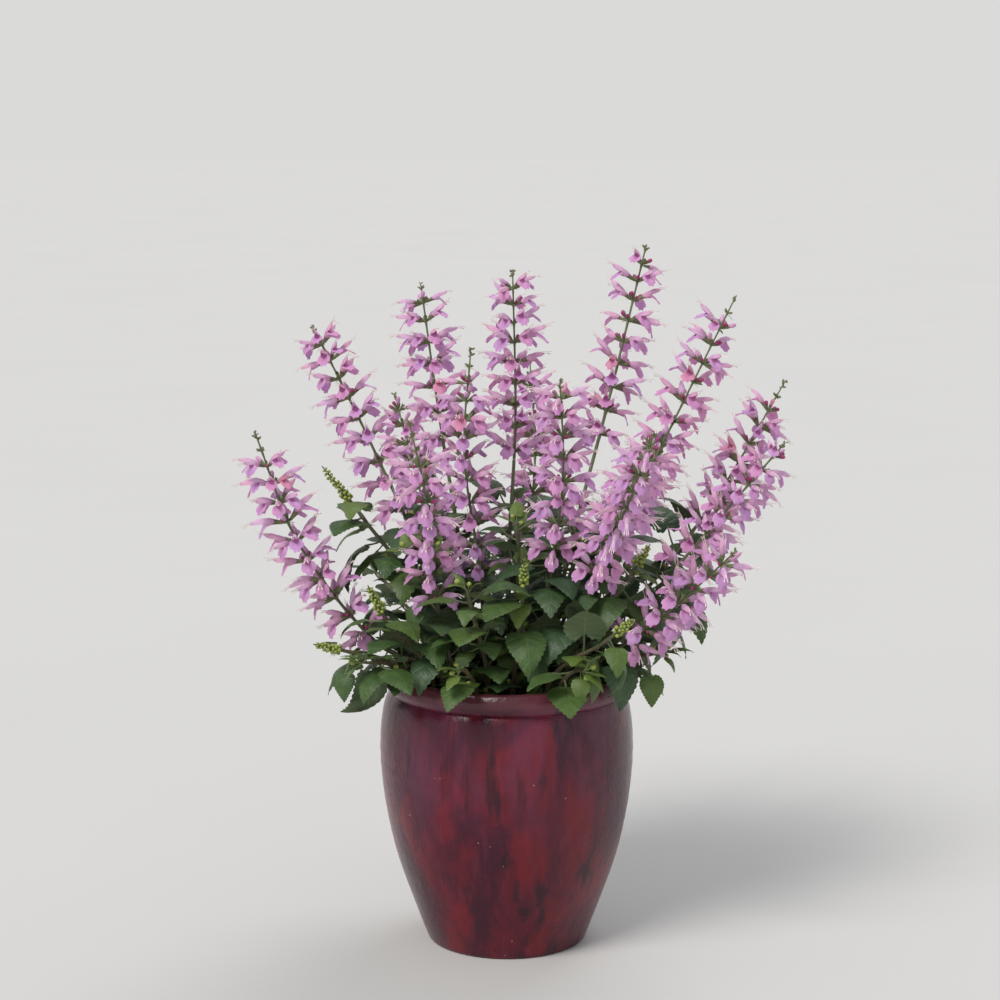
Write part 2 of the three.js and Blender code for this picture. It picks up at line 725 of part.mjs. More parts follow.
// Lines and lengths of every stem
const stems = [...flowering, ...young].map((given) => {
  const stem = { ...given, line: new Line(given.line) };
  const draw = draws(given.seed + 50);
  stem.turn = draw() * (Math.PI / 2);
  stem.top = given.head ? stem.line.length - given.head - 4 : stem.line.lengthAtHeight(given.from);
  stem.collar = stem.line.lengthAtHeight(soilEdge + soilRise + 4);
  stem.name = given.head ? `shoot_${given.name}` : `stem_${given.name}`;
  stem.raceme = given.head ? null : `raceme_${given.name}`;
  return stem;
});
stems.forEach((stem) => takeLine(stem.line, stem.name));
stems.filter((stem) => stem.raceme).forEach((stem) => {
  stem.plan = planRaceme(stem);
});
stems.filter((stem) => stem.head).forEach((stem) => {
  const balls = [];
  for (let s = stem.top; s < stem.line.length; s += 4) {
    balls.push({ at: stem.line.at(s).place, r: largestBall });
  }
  take(balls, stem.name);
});
stems.forEach(placeKeys);
stems.forEach((stem) => {
  stem.leaves = planLeaves(stem);
});

// Pot: outside from the centre of the foot up, over the rim and down the inside
const outside = [[footRadius - 2, 0], [footRadius + 2, 3], [97.5, 31], [118.5, 92], [130.4, 146],
  [136, 196], [135.5, 236], [131, 264], [126.5, 275], [131.5, 279], [134.5, 286], [133.5, 294], [128.5, potHeight]];
const inside = [[122.5, 298], [119.5, 290], [120.8, soilEdge], [124.5, 205], [118.5, 146], [86, 31],
  [72, floorThickness]];
const shiftAt = (height) => rimShift * THREE.MathUtils.smoothstep(height, 262, 282);
const potProfile = [[0, 0], ...outside, ...inside, [0, floorThickness]];
let pot = turned(potProfile, shiftAt).solid();
for (let k = 0; k < 3; k += 1) {
  const angle = radians(30 + 120 * k);
  const circle = (height) => Array.from({ length: drainSides }, (_, i) => {
    const way = (i / drainSides) * 2 * Math.PI;
    const x = drainRing * Math.cos(angle) + drainRadius * Math.cos(way);
    return vec(x, drainRing * Math.sin(angle) + drainRadius * Math.sin(way), height);
  });
  const drill = new Skin();
  const bottom = drill.loop(circle(-1));
  const top = drill.loop(circle(floorThickness + 1));
  drill.cap(bottom, false);
  drill.join(bottom, top);
  drill.cap(top, true);
  pot = pot.subtract(drill.solid());
}

// Soil: fills the pot a hair clear of its wall, with a plain hole for each stem
const soilWall = inside.filter(([, height]) => height <= soilEdge).reverse()
  .map(([radius, height]) => [radius - gap - 0.1, Math.max(height, floorThickness + gap)]);
const soilTop = [[88, soilEdge + 3], [45, soilEdge + soilRise - 1], [0, soilEdge + soilRise]];
const soilProfile = [[0, floorThickness + gap], ...soilWall, ...soilTop];
let soil = turned(soilProfile, () => 0).solid();
stems.forEach((stem) => {
  const skin = new Skin();
  const low = stem.line.at(0);
  const high = stem.line.at(stem.collar);
  const way = high.place.clone().sub(low.place).normalize();
  low.place.addScaledVector(way, -gap * 2);
  high.place.addScaledVector(way, 12);
  const bottom = skin.loop(squareLoop(low, stemRadius + holeEase, stem.turn));
  const top = skin.loop(squareLoop(high, stemRadius + holeEase, stem.turn));
  skin.cap(bottom, false);
  skin.join(bottom, top);
  skin.cap(top, true);
  soil = soil.subtract(skin.solid());
});

const group = new THREE.Group();
function add(name, geometry, color, roughness) {
  const material = new THREE.MeshStandardMaterial({ color, roughness, metalness: 0 });
  const mesh = new THREE.Mesh(geometry, material);
  mesh.name = name;
  group.add(mesh);
}

add('pot', geometryOf(pot), 0x4f1224, 0.18);
add('soil', geometryOf(soil), 0x33251c, 0.95);
stems.forEach((stem) => {
  if (stem.raceme) {
    add(stem.name, makeStem(stem).geometry(), 0x3d6238, 0.6);
    add(stem.raceme, makeRaceme(stem).geometry(), 0xc884bd, 0.6);
  } else {
    add(stem.name, makeStem(stem).geometry(), 0x547a3a, 0.6);
  }
});

export default group;
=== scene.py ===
# Looks for a tropical sage in bloom in a glazed pot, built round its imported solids.
# The layout is in millimetres in the part's own frame: Z is up, X is to the right and Y points
# away from the front. Points are scaled to metres when a mesh is made.
import math
from itertools import product

import bmesh
import bpy
import numpy as np
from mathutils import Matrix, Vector, noise


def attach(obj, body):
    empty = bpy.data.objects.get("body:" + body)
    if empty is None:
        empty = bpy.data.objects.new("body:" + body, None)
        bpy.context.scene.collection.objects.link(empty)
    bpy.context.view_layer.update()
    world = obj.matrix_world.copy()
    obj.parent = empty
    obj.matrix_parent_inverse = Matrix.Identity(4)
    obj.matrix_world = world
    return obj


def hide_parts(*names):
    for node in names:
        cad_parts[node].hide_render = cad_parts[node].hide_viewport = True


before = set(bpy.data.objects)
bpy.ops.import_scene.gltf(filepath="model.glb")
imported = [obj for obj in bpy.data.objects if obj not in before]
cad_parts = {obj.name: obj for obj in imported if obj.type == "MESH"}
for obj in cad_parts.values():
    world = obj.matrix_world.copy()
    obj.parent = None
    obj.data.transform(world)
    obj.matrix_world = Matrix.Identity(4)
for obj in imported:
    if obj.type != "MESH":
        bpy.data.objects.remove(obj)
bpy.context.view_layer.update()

MM = 0.001
QUARTER = math.pi / 2

# Camera, from the photograph's perspective
CAMERA_PLACE = (-7.5, -2527.1, 911.4)
CAMERA_PITCH = 80.34
CAMERA_LENS = 86.65
FLOOR_REACH = 30

# Pot
POT_HEIGHT = 300
POT_COLUMNS = 144
FOOT_RADIUS = 85
FLOOR_THICKNESS = 14
RIM_SHIFT = 3
SHIFT_FROM = 262
SHIFT_TO = 282
GLAZED_DOWN_TO = 284
DRAIN_RADIUS = 8
DRAIN_RING = 36
OUTSIDE = [(FOOT_RADIUS - 2, 0), (FOOT_RADIUS + 2, 3), (97.5, 31), (118.5, 92), (130.4, 146),
           (136, 196), (135.5, 236), (131, 264), (126.5, 275), (131.5, 279), (134.5, 286), (133.5, 294),
           (128.5, POT_HEIGHT)]
INSIDE = [(122.5, 298), (119.5, 290), (120.8, 262), (124.5, 205), (118.5, 146), (86, 31),
          (72, FLOOR_THICKNESS)]

# Soil
GAP = 0.3
SOIL_EDGE = 262
SOIL_RISE = 5
SOIL_COLUMNS = 120
SOIL_TOP = [(88, SOIL_EDGE + 3), (45, SOIL_EDGE + SOIL_RISE - 1), (0, SOIL_EDGE + SOIL_RISE)]
CRUMBS = 700
CRUMB_REACH = 116
CRUMB_SEED = 7

# Stems, leaves and flowers
STEM_RADIUS = 3.4
TIP_RADIUS = 2.3
BAND_HEIGHT = 4.6
SMALL_SPACING = 24
LEAF_SPACING = 28
HIGHEST_LEAF = 462
WHORL_SPACING = 22
CLEARANCE = 0.5
HEAD_BALL = 7.5
BUD_BALL = 2.6
STALK_BALL = 2.4
BLADE_BALL = 4.2
BLADE_TIP_BALL = 3
BLADE_HALF_WIDTH = 0.4
LONG_BUD_REACH = 8
GREEN_BUD_REACH = 3
PLANNED_BUD_SLOPE = 40
RIM_INSIDE = 117
RIM_OUTSIDE = 139
MOST_BALLS = 60000

# Every stem has a seed of its own, counted up from these two, and each of its plans draws from
# that seed plus one of the steps
FIRST_FLOWERING_SEED = 11
FIRST_YOUNG_SEED = 31
TURN_STEP, LEAF_STEP, RACEME_STEP, STEM_STEP, SMALL_STEP = 50, 100, 200, 300, 400

# What is tried in turn where a flower or leaf has no room: shares of a leaf's length, then degrees
# of lean and of swing. The ease is the share of its own room that a small one keeps. Drawn leaves
# lie between the given slopes, stalks, blade lengths and droops.
LEAF_SPANS = ((8, 40), (16, 32), (44, 60), (30, 90))
SMALL_SPANS = ((-5, 50), (7, 26), (28, 44), (20, 90))
FLOWER_TRIES = ((0, 12, -12), (0, 13, -13, 24, -24))
FILL_TRIES = ((0, 14, -14), (0, 9, -9))
LEAF_TRIES = ((1, 0.84, 0.68, 0.54), (0, 20, -18, 38), (0, 16, -16, 32, -32, 48, -48))
SMALL_TRIES = ((1, 0.78, 0.6), (0, 28, -24), (0, 30, -30, 60, -60))
FILL_EASE = 0.74
SMALL_EASE = 0.6

# Each flowering stem: points on its line, the height where its flowers start, the share of its
# flowers that are open, the share of the raceme where open flowers end, and how much of the open
# share is left at that end
FLOWERING = {
    "far_left": ([(-54, -16, 240), (-74, -24, 300), (-138, -44, 336), (-216, -64, 444),
                  (-259, -76, 563)], 340, 0.8, 0.82, 0.75),
    "left_tall": ([(-52, 22, 240), (-88, 14, 404), (-145, 28, 536), (-207, 46, 660)], 462, 0.97, 1, 1),
    "centre_left_tall": ([(-30, 44, 240), (-49, 42, 408), (-73, 70, 558), (-94, 102, 703)],
                         530, 0.84, 0.96, 0.7),
    "centre_left": ([(-18, -4, 240), (-29, -14, 403), (-45, -24, 533), (-38, -30, 645)],
                    400, 0.86, 0.84, 0.7),
    "front_left": ([(-40, -46, 240), (-74, -76, 393), (-82, -128, 503), (-98, -164, 589)],
                   384, 0.94, 0.8, 0.8),
    "centre_tall": ([(2, 24, 240), (2, 16, 413), (9, 34, 562), (6, 44, 721)], 520, 0.92, 0.94, 0.6),
    "front_centre": ([(22, -34, 240), (43, -48, 393), (57, -88, 517), (53, -112, 623)],
                     432, 0.97, 0.96, 0.9),
    "right_tallest": ([(30, 14, 240), (68, 34, 420), (111, 76, 579), (152, 116, 742)],
                      534, 0.66, 0.92, 0.4),
    "right_tall": ([(54, 4, 240), (105, -2, 416), (175, 6, 561), (241, 14, 696)],
                   440, 0.86, 0.86, 0.55),
    "front_right": ([(46, -52, 240), (86, -72, 398), (123, -150, 507), (143, -206, 583)],
                    410, 0.95, 0.92, 0.8),
    "far_right_back": ([(64, 30, 240), (86, 34, 302), (146, 48, 366), (229, 84, 467), (309, 132, 592)],
                       440, 0.74, 0.86, 0.6),
    "far_right": ([(78, -10, 240), (92, -12, 306), (142, -16, 366), (209, -24, 448), (291, -34, 548)],
                  404, 0.8, 0.88, 0.7),
    "low_right": ([(70, -38, 240), (84, -48, 302), (122, -72, 340), (177, -112, 394), (229, -146, 453)],
                  338, 0.96, 1, 1),
    "back_left": ([(-38, 68, 240), (-58, 84, 367), (-98, 156, 466), (-128, 216, 567)],
                  410, 0.8, 0.88, 0.7),
    "back_centre": ([(12, 62, 240), (20, 82, 383), (32, 166, 499), (27, 236, 605)],
                    420, 0.8, 0.88, 0.7),
    "back_right": ([(44, 56, 240), (70, 74, 357), (126, 158, 432), (183, 222, 509)],
                   396, 0.8, 0.88, 0.7),
}

# Each young shoot: points on its line, and the length of its head of buds
YOUNG = {
    "left_high": ([(-76, 6, 240), (-94, 2, 372), (-151, -6, 460), (-196, -8, 519)], 46),
    "left_low": ([(-66, -44, 240), (-84, -58, 312), (-120, -88, 362), (-143, -110, 411)], 34),
    "left_edge": ([(-84, -24, 240), (-94, -34, 300), (-148, -80, 330), (-200, -104, 348)], 30),
    "front": ([(2, -62, 240), (10, -68, 330), (16, -92, 392), (18, -106, 435)], 26),
    "right": ([(48, -22, 240), (74, -30, 330), (118, -62, 396), (148, -78, 448)], 26),
    "front_right": ([(26, -78, 240), (50, -92, 314), (95, -124, 352), (128, -150, 384)], 26),
    "back_low_left": ([(-62, 46, 240), (-80, 66, 312), (-120, 104, 352), (-148, 128, 380)], 8),
    "back_low": ([(-6, 84, 240), (-8, 98, 318), (-14, 138, 362), (-16, 164, 392)], 8),
    "back_low_right": ([(62, 60, 240), (76, 76, 312), (110, 108, 352), (140, 130, 376)], 8),
    "left_mid": ([(-34, -22, 240), (-52, -40, 330), (-84, -66, 398), (-104, -84, 440)], 8),
    "front_left": ([(-14, -48, 240), (-22, -78, 320), (-34, -112, 376), (-42, -136, 414)], 8),
    "centre": ([(6, -10, 240), (8, -22, 340), (12, -46, 420), (10, -62, 468)], 8),
    "right_edge": ([(86, 16, 240), (98, 22, 306), (146, 34, 344), (190, 48, 372)], 8),
    "left_rim": ([(-82, -44, 240), (-92, -56, 296), (-124, -100, 326), (-150, -128, 334)], 8),
    "front_rim": ([(-26, -84, 240), (-32, -98, 296), (-42, -132, 326), (-48, -154, 332)], 8),
    "front_rim_right": ([(46, -84, 240), (54, -94, 298), (68, -124, 324), (78, -148, 330)], 8),
    "right_rim": ([(88, -26, 240), (100, -36, 298), (138, -52, 322), (166, -66, 330)], 8),
    "back_rim_left": ([(-40, 84, 240), (-50, 98, 298), (-66, 134, 328), (-76, 156, 336)], 8),
    "back_rim_right": ([(34, 88, 240), (42, 102, 298), (54, 138, 328), (62, 160, 336)], 8),
    "inner_left": ([(-40, 18, 240), (-52, 0, 320), (-66, -14, 390), (-80, -26, 436)], 8),
    "inner_right": ([(30, -8, 240), (44, -12, 320), (62, -30, 392), (76, -46, 438)], 8),
}

# Leaves placed one by one: the piece that each grows on, its height, direction in degrees, stalk,
# slope in degrees, blade length and droop in degrees
KEY_LEAVES = [
    ("shoot_front", 352, -78, 16, 4, 58, 82),
    ("shoot_front", 312, -38, 38, 22, 50, 70),
    ("shoot_front_right", 330, -120, 22, 14, 54, 84),
    ("shoot_left_low", 322, -72, 26, 6, 56, 96),
    ("shoot_left_low", 334, -140, 26, 10, 50, 100),
    ("stem_front_left", 316, -112, 40, 12, 50, 96),
    ("shoot_left_edge", 326, -120, 20, -6, 58, 110),
    ("shoot_left_edge", 340, -60, 18, 0, 46, 100),
    ("stem_low_right", 324, -30, 24, -4, 58, 118),
    ("shoot_front_right", 356, 0, 22, 0, 46, 100),
    ("stem_far_right", 372, -20, 24, -10, 54, 90),
    ("shoot_left_high", 436, 170, 18, 20, 56, 90),
    ("shoot_left_high", 396, -60, 22, 30, 56, 100),
    ("stem_front_centre", 404, -70, 24, 30, 46, 60),
    ("shoot_right", 392, -60, 22, 20, 52, 80),
    ("stem_front_right", 352, -90, 24, 16, 56, 84),
    ("stem_back_left", 312, 118, 30, 20, 56, 92),
    ("stem_back_centre", 314, 84, 30, 18, 58, 92),
    ("stem_back_right", 312, 50, 32, 18, 56, 96),
    ("stem_left_tall", 312, 152, 34, 20, 54, 80),
    ("stem_far_right_back", 322, 48, 30, 14, 56, 96),
]


def mix(a, b, t):
    return a + (b - a) * t


def colour(red, green, blue):
    """A screen colour from 0 to 255 as the linear one that shaders take."""
    values = [c / 255 for c in (red, green, blue)]
    return (*[v / 12.92 if v <= 0.04045 else ((v + 0.055) / 1.055) ** 2.4 for v in values], 1.0)


COAT_ROUGHNESS = 0.14


def smoothstep(value, low, high):
    t = np.clip((value - low) / (high - low), 0, 1)
    return t * t * (3 - 2 * t)


def unit(vector):
    return vector / np.linalg.norm(vector)


def draws(seed):
    """A seeded source of numbers from 0 to 1, the one that the solids were laid out with."""
    mask = 0xFFFFFFFF
    state = seed & mask

    def draw():
        nonlocal state
        state = (state + 0x6D2B79F5) & mask
        value = state
        value = ((value ^ (value >> 15)) * (value | 1)) & mask
        value ^= (value + (((value ^ (value >> 7)) * (value | 61)) & mask)) & mask
        return (value ^ (value >> 14)) / (mask + 1)

    return draw


class Spot:
    """A place on a stem's line with its directions: along it, to its side and to its back."""

    def __init__(self, place, along):
        self.place = place
        self.along = unit(along)
        self.side = unit(np.cross((0, 1, 0), self.along))
        self.back = np.cross(self.along, self.side)

    def slant(self, angle, slope):
        """The direction at an angle round the line, in radians, and a slope in degrees."""
        around = self.side * math.cos(angle) + self.back * math.sin(angle)
        slope = math.radians(slope)
        return around * math.cos(slope) + self.along * math.sin(slope)


class Line:
    """A smooth line through the given points, read by the length along it."""

    def __init__(self, corners, steps=40):
        points = np.array(corners, float)
        ends = np.vstack([2 * points[0] - points[1], points, 2 * points[-1] - points[-2]])
        places = [points[0]]
        for k in range(len(points) - 1):
            a, b, c, d = ends[k:k + 4]
            rise = (c - a) / 2
            leave = (d - b) / 2
            for i in range(1, steps + 1):
                t = i / steps
                cubic = (2 * b - 2 * c + rise + leave) * t ** 3
                places.append(cubic + (3 * c - 3 * b - 2 * rise - leave) * t ** 2 + rise * t + b)
        self.places = np.array(places)
        self.lengths = np.append(0, np.cumsum(np.linalg.norm(np.diff(self.places, axis=0), axis=1)))
        self.length = self.lengths[-1]

    def at(self, length):
        wanted = min(max(length, 0), self.length)
        last = len(self.lengths) - 1
        k = min(max(int(np.searchsorted(self.lengths, wanted)), 1), last)
        share = (wanted - self.lengths[k - 1]) / (self.lengths[k] - self.lengths[k - 1])
        place = mix(self.places[k - 1], self.places[k], share)
        return Spot(place, self.places[min(k + 2, last)] - self.places[max(k - 3, 0)])

    def length_at_height(self, height):
        k = int(np.argmax(self.places[:, 2] >= height))
        if k < 1:
            return self.length
        share = (height - self.places[k - 1, 2]) / (self.places[k, 2] - self.places[k - 1, 2])
        return mix(self.lengths[k - 1], self.lengths[k], share)


class Room:
    """The room that is already taken, as balls, each with the stem that it belongs to."""

    def __init__(self):
        self.balls = np.zeros((MOST_BALLS, 4))
        self.owner = np.zeros(MOST_BALLS, int)
        self.axis = np.zeros(MOST_BALLS, bool)
        self.count = 0

    def take(self, balls, owner, axis=False):
        end = self.count + len(balls)
        self.balls[self.count:end] = balls
        self.owner[self.count:end] = owner
        self.axis[self.count:end] = axis
        self.count = end

    def fits(self, balls, owner):
        reach = np.hypot(balls[:, 0], balls[:, 1])
        height = balls[:, 2]
        radius = balls[:, 3]
        in_rim = (reach > RIM_INSIDE - radius) & (reach < RIM_OUTSIDE + radius)
        in_rim &= height < POT_HEIGHT + radius + 1
        if np.any(in_rim | (height < SOIL_EDGE + SOIL_RISE + 3 + radius)):
            return False
        others = self.balls[:self.count]
        margin = radius.max() + HEAD_BALL + CLEARANCE
        near = np.all(others[:, :3] > balls[:, :3].min(0) - margin, axis=1)
        near &= np.all(others[:, :3] < balls[:, :3].max(0) + margin, axis=1)
        near &= ~(self.axis[:self.count] & (self.owner[:self.count] == owner))
        others = others[near]
        apart = ((balls[:, None, :3] - others[None, :, :3]) ** 2).sum(2)
        return bool(np.all(apart > (balls[:, None, 3] + others[None, :, 3] + CLEARANCE) ** 2))


class Flower:
    """The place, directions and size of a flower that leaves its stem at an angle round it, in
    radians, and a slope in degrees."""

    SPOTS = np.array([(9, 0, 0, 3.2), (14, 0, 0, 3.8), (20, 0, -0.5, 4.8), (26, 0, 3, 3.4),
                      (31, 0, 3.5, 2), (26, -5, -7, 4), (26, 5, -7, 4), (28, 0, -8, 4)])

    def __init__(self, spot, angle, slope, size):
        self.place = spot.place
        self.out = spot.slant(angle, slope)
        lift = np.array([0, 0, 0.6]) + 0.4 * spot.along
        self.up = unit(lift - self.out * lift.dot(self.out))
        self.across = np.cross(self.up, self.out)
        self.size = size

    @property
    def axes(self):
        return np.array([self.out, self.across, self.up])

    def at(self, points):
        return self.place + self.size * (np.asarray(points) @ self.axes)

    def balls(self):
        return np.column_stack([self.at(self.SPOTS[:, :3]), self.SPOTS[:, 3] * self.size])


def whorl_places(start, end):
    """Where the whorls of a raceme stand, closer together towards the tip."""
    count = int(math.floor((end - start) / WHORL_SPACING + 0.5))
    return [mix(start, end, 1 - (1 - k / count) ** 1.2) for k in range(count)]


def tip_share(share, least):
    """From 1 down to the least value over the upper part of a raceme."""
    return mix(1, least, max(0, (share - 0.55) / 0.45))


def plan_raceme(stem, room):
    """What stands on each of the four sides of each whorl: an open flower, a bud or nothing."""
    draw = draws(stem.seed)
    places = whorl_places(stem.top + 6, stem.line.length - 8)
    turn_offset = draw() * math.pi
    whorls = []
    for k, length in enumerate(places):
        share = k / len(places)
        spot = stem.spot(length)
        turn = turn_offset + k * (math.pi / 4)
        sides = []
        for side in range(4):
            angle = turn + side * QUARTER + math.radians(mix(-9, 9, draw()))
            slope = mix(14, 36, draw())
            size = mix(1.08, 1.3, draw()) * tip_share(share, 0.8)
            opens = draw() < stem.open * tip_share(share, stem.tip) and share < stem.until
            flower = place_flower(room, stem, spot, angle, slope, size) if opens else None
            if flower:
                sides.append(("flower", flower))
                continue
            bud = Flower(spot, angle, PLANNED_BUD_SLOPE, 1)
            reach = LONG_BUD_REACH if share < stem.until else GREEN_BUD_REACH
            ball = np.append(bud.at((reach, 0, 0)), BUD_BALL)[None, :]
            if room.fits(ball, stem.index):
                room.take(ball, stem.index)
                sides.append(("bud", bud))
        whorls.append((length, turn, share, sides))
    return whorls


def first_fit(room, stem, tries, make, ease=1.0):
    """The first of the tried forms that has room, which it then takes. A lower ease lets the
    form come nearer to its neighbours."""
    for values in product(*tries):
        form = make(*values)
        balls = form.balls()
        balls[:, 3] *= ease
        if room.fits(balls, stem.index):
            room.take(balls, stem.index)
            return form
    return None


def place_flower(room, stem, spot, angle, slope, size, tries=FLOWER_TRIES, ease=1.0):
    def make(lean, swing):
        return Flower(spot, angle + math.radians(swing), slope + lean, size)

    return first_fit(room, stem, tries, make, ease)


def blade_spots():
    """Where balls cover a blade: the share along it, the share of its half width, and the radius."""
    spots = []
    share = -0.06
    while share < 1.02:
        reach = 0.8 if share < 0.1 else 1.05 * (1 - share) + 0.12
        steps = max(1, int(math.floor(reach * 2.4 + 0.5)))
        for i in range(-steps, steps + 1):
            spots.append((share, i / steps * reach, BLADE_TIP_BALL if share > 0.9 else BLADE_BALL))
        share += 0.15
    return np.array(spots)


BLADE_SPOTS = blade_spots()
# The share along the rib from which balls also follow the straight line to the tip
CROWN = 0.36


class Leaf:
    """A leaf's stalk and blade: the blade's rib is an arc that bends down by the droop. Slope and
    droop are in degrees."""

    def __init__(self, spot, angle, slope, stalk, length, droop):
        self.root = spot.place
        self.out = spot.slant(angle, slope)
        self.lift = unit(np.array([0, 0, 1]) - self.out * self.out[2])
        self.across = np.cross(self.lift, self.out)
        self.stalk = stalk
        self.length = length
        self.droop = math.radians(droop)
        self.width = BLADE_HALF_WIDTH * length
        self.start = spot.place + self.out * stalk

    def rib(self, share):
        share = np.asarray(share, float)[..., None]
        bend = self.droop * share * 0.6
        return self.start + share * self.length * (self.out * np.cos(bend) - self.lift * np.sin(bend))

    def normal(self, share):
        bend = self.droop * np.asarray(share, float)[..., None] * 1.2
        return self.lift * np.cos(bend) + self.out * np.sin(bend)

    def balls(self):
        """Balls along the stalk and over the blade, for the test of its room."""
        lengths = np.arange(10, self.stalk, 5)
        stalk = self.root + np.outer(lengths, self.out)
        stalk = np.column_stack([stalk, np.full(len(lengths), STALK_BALL)])
        share, reach, radius = BLADE_SPOTS.T
        sink = (BLADE_CUP * np.abs(reach) * self.width)[:, None] * self.normal(np.maximum(share, 0))
        places = self.rib(share) + np.outer(reach * self.width, self.across) - sink
        crown, tip = self.rib(CROWN), self.rib(1)
        chord = [np.append(crown + share * (tip - crown), BLADE_BALL) for share in (0.3, 0.6)]
        return np.vstack([stalk, np.column_stack([places, radius]), chord])


def place_leaf(room, stem, spot, angle, slope, stalk, length, droop, tries=LEAF_TRIES, ease=1.0):
    def make(shrink, lean, swing):
        return Leaf(spot, angle + math.radians(swing), slope + lean, stalk, length * shrink, droop)

    return first_fit(room, stem, tries, make, ease)


def draw_leaf(room, stem, spot, angle, draw, spans, scale=1.0, tries=LEAF_TRIES, ease=1.0):
    slope, stalk, length, droop = (mix(*span, draw()) for span in spans)
    return place_leaf(room, stem, spot, angle, slope, stalk, length * scale, droop, tries, ease)


def place_key_leaves(stem, room):
    """A stem's listed leaves, placed before any other leaf takes their room."""
    levels = []
    for piece, height, towards, stalk, slope, length, droop in KEY_LEAVES:
        if piece == stem.name:
            level = stem.line.length_at_height(height)
            leaf = place_leaf(room, stem, stem.spot(level), math.radians(towards), slope, stalk,
                              length, droop)
            levels.append((level, [leaf]))
    return levels


def plan_leaves(stem, room):
    """The levels of a stem that carry leaves: the listed ones, then pairs of opposite ones."""
    draw = draws(stem.seed + LEAF_STEP)
    levels = list(stem.key_levels)
    first = stem.line.length_at_height(SOIL_EDGE + SOIL_RISE + 18)
    last = min(stem.top - 12, stem.line.length_at_height(HIGHEST_LEAF))
    count = max(1, int((last - first) // LEAF_SPACING) + 1)
    for k in range(count):
        length = mix(first, last, k / (count - 1) if count > 1 else 0.5)
        if any(abs(level - length) <= BAND_HEIGHT * 1.6 for level, _ in levels):
            continue
        side = (k + stem.seed) % 2
        pair = [draw_leaf(room, stem, stem.spot(length), stem.turn + quarter * QUARTER, draw,
                          LEAF_SPANS, mix(1, 0.8, k / count)) for quarter in (side, side + 2)]
        levels.append((length, pair))
    return sorted(levels, key=lambda level: level[0])


def plan_small_leaves(stem, room):
    """Small leaves at any angle between the pairs, where the large ones leave room."""
    draw = draws(stem.seed + SMALL_STEP)
    first = stem.line.length_at_height(SOIL_EDGE + SOIL_RISE + 12)
    last = min(stem.top - 6, stem.line.length_at_height(HIGHEST_LEAF + 20))
    leaves = []
    for length in np.arange(first, last, SMALL_SPACING):
        for _ in range(2):
            angle = draw() * 4 * QUARTER
            leaves.append(draw_leaf(room, stem, stem.line.at(length), angle, draw, SMALL_SPANS,
                                    1.0, SMALL_TRIES, SMALL_EASE))
    return [leaf for leaf in leaves if leaf]


class Stem:
    """One stem with its line, and later the plan of its leaves and flowers."""

    def __init__(self, index, name, corners, start, open_share, until, tip, head, seed):
        self.index = index
        self.line = Line(corners)
        self.open = open_share
        self.until = until
        self.tip = tip
        self.head = head
        self.seed = seed
        self.name = f"shoot_{name}" if head else f"stem_{name}"
        self.raceme = None if head else f"raceme_{name}"
        self.turn = draws(seed + TURN_STEP)() * QUARTER
        self.top = self.line.length - head - 4 if head else self.line.length_at_height(start)

    def spot(self, level):
        """The middle of the band at a level, from which its leaves or flowers grow."""
        return self.line.at(level + BAND_HEIGHT / 2)


def lay_out():
    """All stems with the places of their leaves and flowers, in the order of the solids' layout."""
    stems = [Stem(i, name, corners, start, share, until, tip, 0, FIRST_FLOWERING_SEED + i)
             for i, (name, (corners, start, share, until, tip)) in enumerate(FLOWERING.items())]
    stems += [Stem(len(FLOWERING) + i, name, corners, 0, 0, 0, 0, head, FIRST_YOUNG_SEED + i)
              for i, (name, (corners, head)) in enumerate(YOUNG.items())]
    room = Room()
    for stem in stems:
        lengths = np.arange(0, stem.line.length, 4)
        balls = np.array([(*stem.line.at(s).place, STEM_RADIUS) for s in lengths])
        room.take(balls, stem.index, axis=True)
    for stem in stems:
        if stem.raceme:
            stem.whorls = plan_raceme(stem, room)
    for stem in stems:
        if stem.head:
            lengths = np.arange(stem.top, stem.line.length, 4)
            room.take(np.array([(*stem.line.at(s).place, HEAD_BALL) for s in lengths]), stem.index)
    for stem in stems:
        stem.key_levels = place_key_leaves(stem, room)
    for stem in stems:
        stem.levels = plan_leaves(stem, room)
    for stem in stems:
        stem.small_leaves = plan_small_leaves(stem, room)
    return stems, room


def circle(columns):
    return np.arange(columns) / columns * 2 * math.pi


def grid_faces(rows, columns, closed=False):
    """The four-sided faces of a grid of points, row after row."""
    row = np.arange(rows - 1)[:, None]
    column = np.arange(columns if closed else columns - 1)[None, :]
    left = row * columns + column
    right = row * columns + (column + 1) % columns
    return np.stack([left, right, right + columns, left + columns], -1).reshape(-1, 4)


class Patch:
    """Points and faces of one material, with two values a point for its patterns and tones."""

    def __init__(self, points, faces, slot=0, plan=0, tone=0):
        self.points = np.asarray(points, float).reshape(-1, 3)
        self.faces = np.asarray(faces, int)
        self.slot = slot
        self.plan = self.per_point(plan)
        self.tone = self.per_point(tone)

    def per_point(self, values):
        """The same values for all points, or their own."""
        values = np.asarray(values, float)
        return np.zeros_like(self.points) + (values.reshape(-1, 3) if values.ndim > 1 else values)


def grid_patch(points, slot, plan=None, tone=0, closed=True, flip=False):
    """A patch from rows of points, which are its plan too where no other is given."""
    points = np.asarray(points, float)
    faces = grid_faces(*points.shape[:2], closed)
    faces = faces[:, ::-1] if flip else faces
    return Patch(points, faces, slot, points if plan is None else plan, tone)


def fan_patch(ring, middle, slot, tone=0, flip=False):
    """A patch that joins a ring of points to one in its middle."""
    points = np.vstack([ring, middle])
    corners = np.arange(len(ring))
    nexts = np.roll(corners, 1 if flip else -1)
    fan = np.column_stack([corners, nexts, np.full_like(corners, len(ring))])
    return Patch(points, fan, slot, points, tone)


